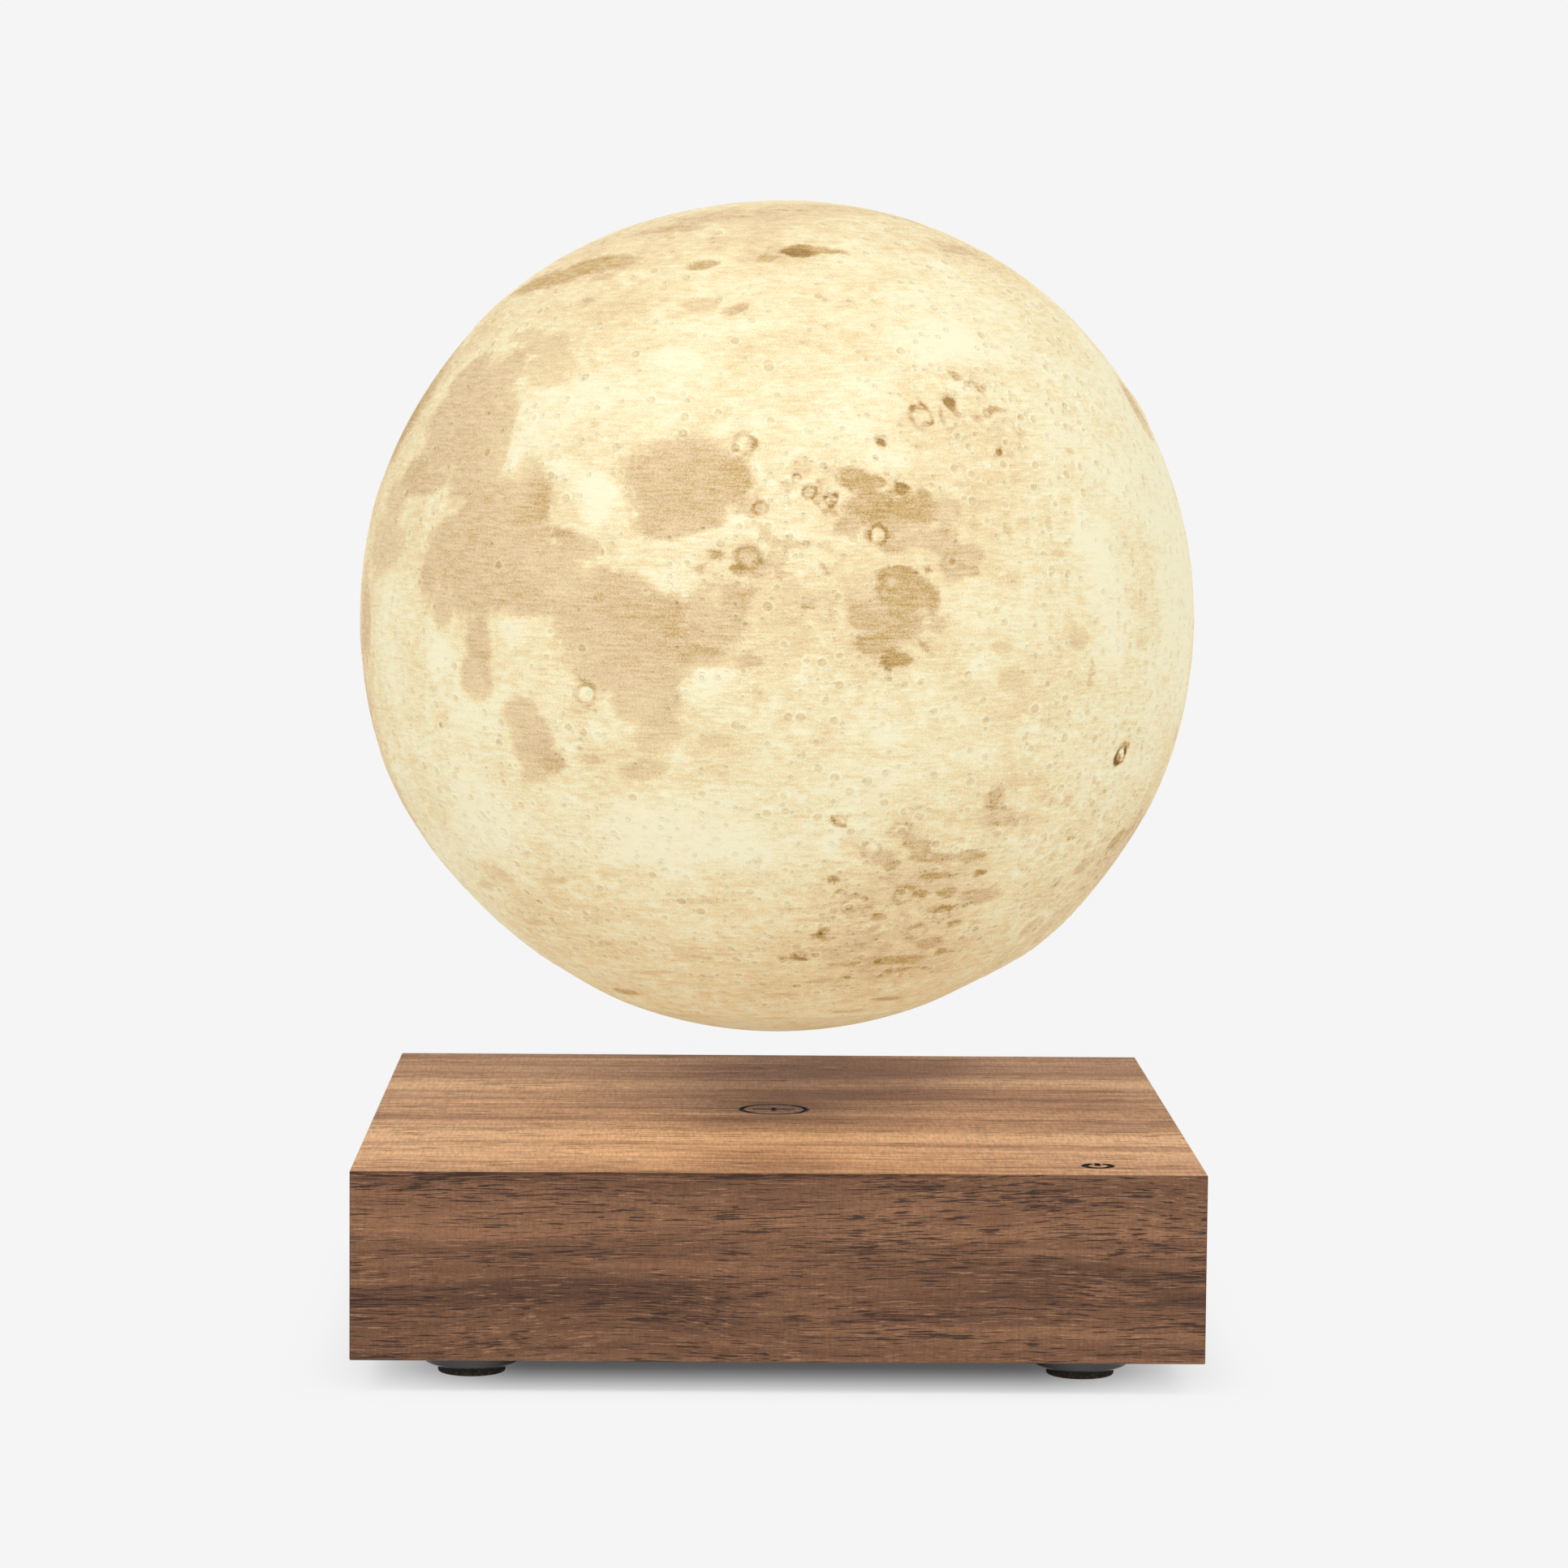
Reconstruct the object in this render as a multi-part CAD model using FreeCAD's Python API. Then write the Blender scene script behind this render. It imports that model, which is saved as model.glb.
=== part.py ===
import FreeCAD
import Part

import math
import os

from FreeCAD import Vector

# Levitating moon lamp: a printed moon with a light and a magnet in its foot hovers over a walnut
# casing that holds the lifting magnet, four steering coils and the power sender.
# Millimetres, +Z up. The origin is on the table, under the centre of the casing and of the moon.
# The front of the casing faces -Y and the power inlet is in its back, at +Y.

# ---------------------------------------------------------------- driving dimensions

# walnut casing
CASING_WIDTH = 170.0
CASING_HEIGHT = 38.0
BOARD = 6.0
EDGE_ROUND = 0.3
POCKET_GAP = 4.8
POCKET_DEPTH = 3.0
ENGRAVING_DEPTH = 0.3

# marks burnt into the top
CENTRE_RING_RADIUS = 7.3
CENTRE_RING_LINE = 0.7
CENTRE_CROSS_LENGTH = 8.4
CENTRE_CROSS_WIDTH = 4.2
POWER_MARK_FROM_SIDE = 21.0
POWER_MARK_FROM_FRONT = 11.0
POWER_MARK_RADIUS = 3.2
POWER_MARK_LINE = 1.0
POWER_MARK_GAP_DEG = 48.0

# bottom cover, its blocks and screws
COVER = 3.0
COVER_RECESS = 0.5
COVER_LAP = 3.0
COVER_GAP = 0.3
BLOCK_SIDE = 14.0
BLOCK_HEIGHT = 14.0
WOOD_SCREW_RADIUS = 1.5
WOOD_SCREW_LENGTH = 12.0
WOOD_SCREW_HEAD_RADIUS = 2.8
WOOD_SCREW_HEAD = 1.7

# feet
STAND_HEIGHT = 6.5
FOOT_INSET = 23.2
COLLAR_RADIUS = 9.5
COLLAR_RIM_RADIUS = 7.05
COLLAR_TAPER = 1.1
PAD_RADIUS = 6.85
PAD_SHOWN = 1.2
PAD_SUNK = 1.0
PAD_ROUND = 0.35

# levitation module
MAGNET_RING_RADIUS = 55.0
MAGNET_RING_BORE = 32.0
MAGNET_RING_THICKNESS = 14.0
TRAY_WALL = 2.0
TRAY_FLOOR = 2.0
LID = 1.5
SENDER_COIL_RADIUS = 54.0
SENDER_COIL_BORE = 40.0
SENDER_COIL_THICKNESS = 2.2
EAR_WIDTH = 10.0
EAR_THICKNESS = 3.0
EAR_REACH = 14.0
STEERING_COILS = 4
COIL_CIRCLE = 17.0
COIL_RADIUS = 10.2
BOBBIN_RADIUS = 11.0
BOBBIN_HUB = 5.2
BOBBIN_FLANGE = 1.2
CORE_RADIUS = 4.0
HALL_POST_SIDE = 5.0
HALL_BOARD_SIDE = 8.0
HALL_BOARD = 1.0
HALL_SENSOR = 1.5
HALL_SENSOR_LENGTH = 3.0
HALL_SENSOR_WIDTH = 1.6
HALL_SENSOR_PLACE = 2.2

# circuit board under the module
BOARD_SIDE = 110.0
BOARD_THICKNESS = 1.6
BOARD_POST_HEIGHT = 2.3
BOARD_POST_RADIUS = 3.0
BOARD_POST_PLACE = 38.0
CHIP_SIDE = 7.0
CHIP_HEIGHT = 1.4
DRIVER_LENGTH = 10.0
DRIVER_WIDTH = 7.5
DRIVER_HEIGHT = 2.3
CAPACITOR_RADIUS = 3.15
CAPACITOR_HEIGHT = 5.6
CONNECTOR_WIDTH = 8.0
CONNECTOR_DEPTH = 6.0
CONNECTOR_HEIGHT = 5.0

# power inlet
JACK_HEIGHT_IN_CASING = 19.0
JACK_FLANGE_RADIUS = 7.0
JACK_FLANGE = 1.5
JACK_BODY_RADIUS = 5.5
JACK_BODY_LENGTH = 13.0
JACK_BORE_RADIUS = 3.0
JACK_BORE_DEPTH = 9.5
JACK_PIN_RADIUS = 1.05
JACK_PIN_ROOT_RADIUS = 1.6
JACK_PIN_LENGTH = 8.5
JACK_NUT_FLATS = 14.0
JACK_NUT = 2.5
JACK_TAIL_RADIUS = 4.4
JACK_TAIL = 5.0
LUG_WIDTH = 2.4
LUG_THICKNESS = 0.8
LUG_DROP = 4.0
LUG_SPACING = 4.6
LEAD_RADIUS = 0.9
LEAD_BEND = 4.0

# touch sensor under the power mark
TOUCH_BOARD_LENGTH = 24.0
TOUCH_BOARD_WIDTH = 8.6
TOUCH_BOARD = 1.0
TOUCH_PAD_RADIUS = 3.6
TOUCH_PAD = 0.3
TOUCH_LEAD_FROM_END = 4.0

# moon
MOON_RADIUS = 88.5
HOVER_GAP = 17.7
SHELL_WALL = 1.4
CAP_HOLE_RADIUS = 34.0
NECK_WALL = 2.0
CAP_FLAT_DROP = 0.9
CAP_FLOOR = 2.4
CAP_SKIRT = 1.6
CAP_RISE = 3.0
LIFT_MAGNET_RADIUS = 19.0
LIFT_MAGNET_HEIGHT = 8.0
POCKET_WALL = 1.6
RECEIVER_COIL_WIDTH = 5.2
RECEIVER_COIL_THICKNESS = 2.2
FERRITE = 0.8
DECK_GAP = 0.4
RECTIFIER_BOARD = 1.6
BOSS_RADIUS = 3.0
BOSSES = 3
SPACER_RADIUS = 2.3
SPACER_HEIGHT = 8.0
LED_BOARD = 1.6
LED_SIDE = 3.5
LED_HEIGHT = 1.2
OUTER_LED_COUNT = 9
OUTER_LED_CIRCLE = 16.0
INNER_LED_COUNT = 3
INNER_LED_CIRCLE = 6.0
DOME_RADIUS = 25.5
DOME_HEIGHT = 20.0
DOME_WALL = 1.2
MACHINE_SCREW_RADIUS = 1.0
MACHINE_SCREW_HEAD_RADIUS = 1.9
MACHINE_SCREW_HEAD = 1.3

# clearances
FIT = 0.1            # a shank, core or winding in its hole
LOOSE = 0.2          # a cap in its neck, a ring in its tray
BODY_GAP = 0.3       # the lifting magnet in its pocket, because the moon turns round it

# ---------------------------------------------------------------- levels and places

HALF = CASING_WIDTH / 2
CAVITY_HALF = HALF - BOARD
WOOD_BOTTOM = STAND_HEIGHT
WOOD_TOP = WOOD_BOTTOM + CASING_HEIGHT
CEILING = WOOD_TOP - BOARD
POCKET_CEILING = CEILING + POCKET_DEPTH

COVER_BOTTOM = WOOD_BOTTOM + COVER_RECESS
COVER_TOP = COVER_BOTTOM + COVER
FOOT_PLACE = HALF - FOOT_INSET
BLOCK_CENTRE = CAVITY_HALF - BLOCK_SIDE / 2

LID_TOP = POCKET_CEILING - LOOSE - SENDER_COIL_THICKNESS
LID_BOTTOM = LID_TOP - LID
TRAY_INSIDE = LID_BOTTOM - LOOSE - MAGNET_RING_THICKNESS
TRAY_BOTTOM = TRAY_INSIDE - TRAY_FLOOR
TRAY_INNER_RADIUS = MAGNET_RING_RADIUS + LOOSE
TRAY_RADIUS = TRAY_INNER_RADIUS + TRAY_WALL
POCKET_RADIUS = TRAY_RADIUS + POCKET_GAP
EAR_END = TRAY_RADIUS + EAR_REACH
EAR_SCREW_CIRCLE = POCKET_RADIUS + (EAR_END - POCKET_RADIUS) / 2
EAR_SCREW_TIP = CEILING + BOARD / 2

BOARD_TOP = TRAY_BOTTOM - BOARD_POST_HEIGHT
BOARD_BOTTOM = BOARD_TOP - BOARD_THICKNESS
CONNECTOR_BOTTOM = BOARD_BOTTOM - CONNECTOR_HEIGHT
LEAD_LEVEL = BOARD_BOTTOM - CONNECTOR_HEIGHT / 2

JACK_LEVEL = WOOD_BOTTOM + JACK_HEIGHT_IN_CASING
JACK_TAIL_END = HALF - JACK_BODY_LENGTH - JACK_TAIL
LUG_BOTTOM = JACK_LEVEL - LUG_DROP

POWER_MARK_X = HALF - POWER_MARK_FROM_SIDE
POWER_MARK_Y = -HALF + POWER_MARK_FROM_FRONT
TOUCH_BOARD_TOP = CEILING - TOUCH_PAD
TOUCH_BOARD_BOTTOM = TOUCH_BOARD_TOP - TOUCH_BOARD
TOUCH_BOARD_END = POWER_MARK_X + 2 * TOUCH_PAD_RADIUS
TOUCH_LEAD_X = TOUCH_BOARD_END - TOUCH_BOARD_LENGTH + TOUCH_LEAD_FROM_END

MOON_BOTTOM = WOOD_TOP + HOVER_GAP
MOON_CENTRE = MOON_BOTTOM + MOON_RADIUS
CAP_RADIUS = CAP_HOLE_RADIUS - LOOSE
CAP_INNER_RADIUS = CAP_RADIUS - CAP_SKIRT
CAP_FLAT = MOON_BOTTOM + CAP_FLAT_DROP
CAP_FLAT_RADIUS = math.sqrt(MOON_RADIUS**2 - (MOON_RADIUS - CAP_FLAT_DROP) ** 2)
BOSS_CIRCLE = CAP_INNER_RADIUS - LOOSE - SPACER_RADIUS
MAGNET_POCKET_FLOOR = CAP_FLAT + CAP_FLOOR
MAGNET_POCKET_RADIUS = LIFT_MAGNET_RADIUS + BODY_GAP
MAGNET_POCKET_OUTER = MAGNET_POCKET_RADIUS + POCKET_WALL


def sphere_level(radius, sphere_radius):
    """The level of a sphere round the moon's centre, below it, at a distance from the axis."""
    return MOON_CENTRE - math.sqrt(sphere_radius**2 - radius**2)


CAP_SHELF = sphere_level(CAP_INNER_RADIUS, MOON_RADIUS) + CAP_FLOOR
FERRITE_TOP = CAP_SHELF + RECEIVER_COIL_THICKNESS + FERRITE
MAGNET_TOP = MAGNET_POCKET_FLOOR + BODY_GAP + LIFT_MAGNET_HEIGHT
DECK = max(FERRITE_TOP + DECK_GAP, MAGNET_TOP + BODY_GAP)
CAP_SKIRT_TOP = DECK + RECTIFIER_BOARD + CAP_RISE
RECTIFIER_TOP = DECK + RECTIFIER_BOARD
LED_BOARD_BOTTOM = RECTIFIER_TOP + SPACER_HEIGHT
LED_BOARD_TOP = LED_BOARD_BOTTOM + LED_BOARD

CORNERS = {
    "front_left": (-1, -1),
    "front_right": (1, -1),
    "back_left": (-1, 1),
    "back_right": (1, 1),
}


# ---------------------------------------------------------------- small helpers


def rod(radius, bottom, top, x=0.0, y=0.0):
    """An upright round bar between two levels."""
    return Part.makeCylinder(radius, top - bottom, Vector(x, y, bottom))


def tube(outer, inner, bottom, top, x=0.0, y=0.0):
    """An upright round tube between two levels."""
    return rod(outer, bottom, top, x, y).cut(rod(inner, bottom, top, x, y))


def slab(x_size, y_size, bottom, top, x=0.0, y=0.0):
    """An upright block centred on a point, between two levels."""
    return Part.makeBox(x_size, y_size, top - bottom, Vector(x - x_size / 2, y - y_size / 2, bottom))


def turned(wire):
    """A solid turned once round the upright axis from its closed half outline."""
    return Part.Face(wire).revolve(Vector(0, 0, 0), Vector(0, 0, 1), 360)


def at(radius, level):
    """A point of a half outline."""
    return Vector(radius, 0, level)


def line(start, end):
    """A straight edge."""
    return Part.LineSegment(start, end).toShape()


def moon_arc(start, end, sphere_radius):
    """An edge of the moon's outline, round its centre, from one point to another."""
    mean = (start + end) / 2 - at(0, MOON_CENTRE)
    middle = at(0, MOON_CENTRE) + mean * (sphere_radius / mean.Length)
    return Part.Arc(start, middle, end).toShape()


def around(count, circle, start_deg=0.0):
    """Evenly spaced points on a circle round the upright axis."""
    angles = [math.radians(start_deg + 360 * i / count) for i in range(count)]
    return [(circle * math.cos(a), circle * math.sin(a)) for a in angles]


def corner_points(place):
    """The four corners of a square round the upright axis."""
    return [(sx * place, sy * place) for sx, sy in CORNERS.values()]


def screw_up(x, y, head_bottom, head_radius, head, shank_radius, tip):
    """A pan-head screw driven upwards, with a cross recess in its head."""
    screw = rod(head_radius, head_bottom, head_bottom + head, x, y)
    screw = screw.fuse(rod(shank_radius, head_bottom + head, tip, x, y))
    recess_depth = head / 2
    for length, width in ((head_radius, head_radius / 4), (head_radius / 4, head_radius)):
        screw = screw.cut(slab(length, width, head_bottom, head_bottom + recess_depth, x, y))
    return screw.removeSplitter()


def screw_down(x, y, head_top, head_radius, head, shank_radius, tip):
    """A pan-head screw driven downwards, with a cross recess in its head."""
    screw = rod(head_radius, head_top - head, head_top, x, y)
    screw = screw.fuse(rod(shank_radius, tip, head_top - head, x, y))
    recess_depth = head / 2
    for length, width in ((head_radius, head_radius / 4), (head_radius / 4, head_radius)):
        screw = screw.cut(slab(length, width, head_top - recess_depth, head_top, x, y))
    return screw.removeSplitter()


def closed(corners):
    """A closed outline through its corners."""
    return Part.makePolygon(corners + corners[:1])


def lead(x, y_start, z_start, y_end, z_end):
    """A wire that drops from its start, bends once and runs level to its end."""
    step = 1 if y_end > y_start else -1
    corner_y, corner_z = y_start + step * LEAD_BEND, z_end + LEAD_BEND
    middle = Vector(
        x,
        corner_y - step * LEAD_BEND * math.cos(math.pi / 4),
        corner_z - LEAD_BEND * math.sin(math.pi / 4),
    )
    drop = line(Vector(x, y_start, z_start), Vector(x, y_start, corner_z))
    bend = Part.Arc(Vector(x, y_start, corner_z), middle, Vector(x, corner_y, z_end)).toShape()
    run = line(Vector(x, corner_y, z_end), Vector(x, y_end, z_end))
    path = Part.Wire([drop, bend, run])
    circle = Part.Circle(Vector(x, y_start, z_start), Vector(0, 0, -1), LEAD_RADIUS).toShape()
    swept = path.makePipeShell([Part.Wire([circle])], True, False)
    print("lead", round(path.Length, 2), "mm long, bent at", LEAD_BEND, "mm, volume",
          round(swept.Volume / (math.pi * LEAD_RADIUS**2 * path.Length), 4), "of section times length")
    return swept


# ---------------------------------------------------------------- walnut casing


def casing_walls():
    """The casing's top and sides in one, with its outer edges eased and its cavity open below."""
    block = slab(CASING_WIDTH, CASING_WIDTH, WOOD_BOTTOM, WOOD_TOP)
    block = block.makeFillet(EDGE_ROUND, block.Edges)
    cavity = 2 * CAVITY_HALF
    rebate = 2 * (CAVITY_HALF + COVER_LAP)
    block = block.cut(slab(cavity, cavity, WOOD_BOTTOM - BOARD, CEILING))
    return block.cut(slab(rebate, rebate, WOOD_BOTTOM - BOARD, COVER_TOP))


def square_at(half, level):
    """The closed outline of a level square."""
    turns = ((-1, -1), (1, -1), (1, 1), (-1, 1))
    return closed([Vector(sx * half, sy * half, level) for sx, sy in turns])


def top_mitre():
    """The space above the mitres where the top meets the sides, from below the ceiling outwards."""
    inside = square_at(CAVITY_HALF - BOARD, CEILING - BOARD)
    outside = square_at(HALF + BOARD, WOOD_TOP + BOARD)
    return Part.makeLoft([inside, outside], True, True)


def corner_mitre():
    """The space in front of the axis, between the upright mitres of the front board's ends."""
    reach = CASING_WIDTH
    corners = [Vector(0, 0, 0), Vector(-reach, -reach, 0), Vector(reach, -reach, 0)]
    return Part.Face(closed(corners)).extrude(Vector(0, 0, WOOD_TOP + BOARD))


def centre_mark(bottom, top):
    """A ring with a small cross in it, which shows where the moon goes."""
    mark = tube(CENTRE_RING_RADIUS, CENTRE_RING_RADIUS - CENTRE_RING_LINE, bottom, top)
    bar = slab(CENTRE_CROSS_LENGTH, CENTRE_RING_LINE, bottom, top)
    post = slab(CENTRE_RING_LINE, CENTRE_CROSS_WIDTH, bottom, top)
    return mark.fuse([bar, post])


def power_mark(bottom, top):
    """A broken ring with a bar in its gap, over the touch sensor."""
    x, y = POWER_MARK_X, POWER_MARK_Y
    ring = tube(POWER_MARK_RADIUS, POWER_MARK_RADIUS - POWER_MARK_LINE, bottom, top, x, y)
    half_gap = math.radians(POWER_MARK_GAP_DEG / 2)
    reach = 2 * POWER_MARK_RADIUS
    side = reach * math.sin(half_gap)
    far = reach * math.cos(half_gap)
    gap = closed([Vector(x, y, bottom), Vector(x + side, y + far, bottom), Vector(x - side, y + far, bottom)])
    ring = ring.cut(Part.Face(gap).extrude(Vector(0, 0, top - bottom)))
    bar = slab(POWER_MARK_LINE, POWER_MARK_RADIUS, bottom, top, x, y + POWER_MARK_RADIUS / 2)
    return ring.fuse(bar)


def top_board():
    """The walnut top, mitred to the sides, with the module's pocket beneath and its marks above."""
    board = casing_walls().common(top_mitre()).cut(rod(POCKET_RADIUS, CEILING - BOARD, POCKET_CEILING))
    for x, y in around(STEERING_COILS, EAR_SCREW_CIRCLE, 45):
        board = board.cut(rod(WOOD_SCREW_RADIUS + FIT, CEILING, EAR_SCREW_TIP + FIT, x, y))
    floor = WOOD_TOP - ENGRAVING_DEPTH
    return board.cut(centre_mark(floor, WOOD_TOP)).cut(power_mark(floor, WOOD_TOP))


def side_boards():
    """The four sides by name, mitred to each other and to the top, with the inlet's hole in the back."""
    walls = casing_walls().cut(top_mitre())
    mitre = corner_mitre()
    boards = {}
    for name in ("front", "right", "back", "left"):
        boards[name] = walls.common(mitre)
        mitre.rotate(Vector(0, 0, 0), Vector(0, 0, 1), 90)
    hole = along_back(JACK_BODY_RADIUS + LOOSE, CAVITY_HALF - BOARD, HALF + BOARD)
    boards["back"] = boards["back"].cut(hole)
    return boards


def corner_blocks():
    """Four glue blocks in the corners, which the cover's screws bite into."""
    blocks = []
    for x, y in corner_points(BLOCK_CENTRE):
        block = slab(BLOCK_SIDE, BLOCK_SIDE, COVER_TOP, COVER_TOP + BLOCK_HEIGHT, x, y)
        pilot_top = COVER_BOTTOM + WOOD_SCREW_LENGTH + FIT
        blocks.append(block.cut(rod(WOOD_SCREW_RADIUS + FIT, COVER_TOP, pilot_top, x, y)))
    return Part.makeCompound(blocks)


def bottom_cover():
    """The black board that closes the casing from below."""
    side = 2 * (CAVITY_HALF + COVER_LAP - COVER_GAP)
    cover = slab(side, side, COVER_BOTTOM, COVER_TOP)
    for x, y in corner_points(BLOCK_CENTRE) + corner_points(FOOT_PLACE):
        cover = cover.cut(rod(WOOD_SCREW_RADIUS + FIT, COVER_BOTTOM, COVER_TOP, x, y))
    return cover


def cover_screws():
    """Four screws up through the cover into the glue blocks."""
    head_bottom = COVER_BOTTOM - WOOD_SCREW_HEAD
    tip = COVER_BOTTOM + WOOD_SCREW_LENGTH
    screws = [screw_up(x, y, head_bottom, WOOD_SCREW_HEAD_RADIUS, WOOD_SCREW_HEAD, WOOD_SCREW_RADIUS, tip)
              for x, y in corner_points(BLOCK_CENTRE)]
    return Part.makeCompound(screws)


# ---------------------------------------------------------------- feet


def foot_head_top():
    """The level that a foot screw's head presses against, inside the collar."""
    return PAD_SHOWN + PAD_SUNK + FIT + WOOD_SCREW_HEAD


def foot_collar(x, y):
    """A tapered plastic collar under the cover, hollowed for its screw and its pad."""
    rim, waist = PAD_SHOWN, PAD_SHOWN + COLLAR_TAPER
    collar = Part.makeCone(COLLAR_RIM_RADIUS, COLLAR_RADIUS, COLLAR_TAPER, Vector(x, y, rim))
    collar = collar.fuse(rod(COLLAR_RADIUS, waist, COVER_BOTTOM, x, y)).removeSplitter()
    collar = collar.cut(rod(PAD_RADIUS + FIT / 2, rim, rim + PAD_SUNK, x, y))
    collar = collar.cut(rod(WOOD_SCREW_HEAD_RADIUS + FIT, rim, foot_head_top(), x, y))
    return collar.cut(rod(WOOD_SCREW_RADIUS + FIT, rim, COVER_BOTTOM, x, y))


def foot_pad(x, y):
    """The soft disc that stands on the table, with its lower edge eased."""
    pad = rod(PAD_RADIUS, 0, PAD_SHOWN + PAD_SUNK, x, y)
    lower = [e for e in pad.Edges if e.BoundBox.ZMax < PAD_SHOWN / 2 and e.Closed]
    return pad.makeFillet(PAD_ROUND, lower)


def foot_screws():
    """Four screws that hold the collars to the cover, hidden by the pads."""
    top = foot_head_top()
    tip = COVER_TOP - FIT
    screws = [screw_up(x, y, top - WOOD_SCREW_HEAD, WOOD_SCREW_HEAD_RADIUS, WOOD_SCREW_HEAD,
                       WOOD_SCREW_RADIUS, tip)
              for x, y in corner_points(FOOT_PLACE)]
    return Part.makeCompound(screws)


# ---------------------------------------------------------------- levitation module


def module_tray():
    """The black tray that holds the magnet ring and hangs under the top by four ears."""
    tray = rod(TRAY_RADIUS, TRAY_BOTTOM, LID_BOTTOM).cut(rod(TRAY_INNER_RADIUS, TRAY_INSIDE, LID_BOTTOM))
    ear_bottom = CEILING - EAR_THICKNESS
    for i in range(STEERING_COILS):
        root = TRAY_RADIUS - TRAY_WALL / 2
        clear = TRAY_RADIUS + LOOSE
        low = slab(EAR_END - root, EAR_WIDTH, ear_bottom, LID_BOTTOM, (EAR_END + root) / 2)
        tall = slab(EAR_END - clear, EAR_WIDTH, ear_bottom, CEILING, (EAR_END + clear) / 2)
        ear = low.fuse(tall).cut(rod(WOOD_SCREW_RADIUS + FIT, ear_bottom, CEILING, EAR_SCREW_CIRCLE))
        ear.rotate(Vector(0, 0, 0), Vector(0, 0, 1), 45 + 360 * i / STEERING_COILS)
        tray = tray.fuse(ear)
    for x, y in corner_points(BOARD_POST_PLACE):
        tray = tray.fuse(rod(BOARD_POST_RADIUS, BOARD_TOP, TRAY_BOTTOM, x, y))
    for x, y in corner_points(BOARD_POST_PLACE):
        tray = tray.cut(rod(MACHINE_SCREW_RADIUS + FIT, BOARD_TOP, TRAY_INSIDE - FIT, x, y))
    return tray.removeSplitter()


def tray_screws():
    """Four screws up through the tray's ears into the top."""
    head_bottom = CEILING - EAR_THICKNESS - WOOD_SCREW_HEAD
    screws = [screw_up(x, y, head_bottom, WOOD_SCREW_HEAD_RADIUS, WOOD_SCREW_HEAD, WOOD_SCREW_RADIUS,
                       EAR_SCREW_TIP)
              for x, y in around(STEERING_COILS, EAR_SCREW_CIRCLE, 45)]
    return Part.makeCompound(screws)


def coil_places():
    """The centres of the steering coils."""
    return around(STEERING_COILS, COIL_CIRCLE)


def bobbin_top():
    """The level of the steering coils' upper ends."""
    return TRAY_INSIDE + MAGNET_RING_THICKNESS


def coil_bobbins():
    """Four nylon bobbins that stand on the tray's floor inside the magnet ring."""
    bobbins = []
    for x, y in coil_places():
        hub = rod(BOBBIN_HUB, TRAY_INSIDE, bobbin_top(), x, y)
        lower = rod(BOBBIN_RADIUS, TRAY_INSIDE, TRAY_INSIDE + BOBBIN_FLANGE, x, y)
        upper = rod(BOBBIN_RADIUS, bobbin_top() - BOBBIN_FLANGE, bobbin_top(), x, y)
        bobbin = hub.fuse([lower, upper]).removeSplitter()
        bobbins.append(bobbin.cut(rod(CORE_RADIUS + FIT, TRAY_INSIDE, bobbin_top(), x, y)))
    return Part.makeCompound(bobbins)


def coil_winding(x, y):
    """The copper wound on one bobbin."""
    low, high = TRAY_INSIDE + BOBBIN_FLANGE, bobbin_top() - BOBBIN_FLANGE
    return tube(COIL_RADIUS, BOBBIN_HUB + FIT, low, high, x, y)


def coil_cores():
    """Four soft-iron cores inside the bobbins."""
    return Part.makeCompound([rod(CORE_RADIUS, TRAY_INSIDE, bobbin_top(), x, y) for x, y in coil_places()])


def hall_board_bottom():
    """The level of the underside of the sensor board."""
    return bobbin_top() - HALL_SENSOR - HALL_BOARD


def hall_sensors():
    """Three position sensors on the sensor board: two lie across each other, one stands level."""
    low = hall_board_bottom() + HALL_BOARD
    place, length, width = HALL_SENSOR_PLACE, HALL_SENSOR_LENGTH, HALL_SENSOR_WIDTH
    places = ((-place, -place, length, width), (place, -place, width, length), (0.0, place, length, width))
    return Part.makeCompound([slab(x_size, y_size, low, low + HALL_SENSOR, x, y)
                              for x, y, x_size, y_size in places])


# ---------------------------------------------------------------- circuit board


def main_board():
    """The board that steers the coils, hung under the tray."""
    board = slab(BOARD_SIDE, BOARD_SIDE, BOARD_BOTTOM, BOARD_TOP)
    for x, y in corner_points(BOARD_POST_PLACE):
        board = board.cut(rod(MACHINE_SCREW_RADIUS + FIT, BOARD_BOTTOM, BOARD_TOP, x, y))
    return board


def board_screws():
    """Four screws up through the board into the tray's posts."""
    screws = [screw_up(x, y, BOARD_BOTTOM - MACHINE_SCREW_HEAD, MACHINE_SCREW_HEAD_RADIUS,
                       MACHINE_SCREW_HEAD, MACHINE_SCREW_RADIUS, TRAY_INSIDE - 2 * FIT)
              for x, y in corner_points(BOARD_POST_PLACE)]
    return Part.makeCompound(screws)


def controller_chip():
    """The controller, in the middle of the board's underside."""
    return slab(CHIP_SIDE, CHIP_SIDE, BOARD_BOTTOM - CHIP_HEIGHT, BOARD_BOTTOM)


def driver_chips():
    """The two coil drivers, one each side of the controller."""
    place = CHIP_SIDE / 2 + 2 * DRIVER_WIDTH
    low = BOARD_BOTTOM - DRIVER_HEIGHT
    drivers = [slab(DRIVER_WIDTH, DRIVER_LENGTH, low, BOARD_BOTTOM, x) for x in (-place, place)]
    return Part.makeCompound(drivers)


def power_capacitors():
    """Three capacitors in a row behind the controller."""
    pitch = 3 * CAPACITOR_RADIUS
    row = CHIP_SIDE / 2 + 4 * CAPACITOR_RADIUS
    low = BOARD_BOTTOM - CAPACITOR_HEIGHT
    return Part.makeCompound([rod(CAPACITOR_RADIUS, low, BOARD_BOTTOM, i * pitch, row) for i in (-1, 0, 1)])


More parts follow.
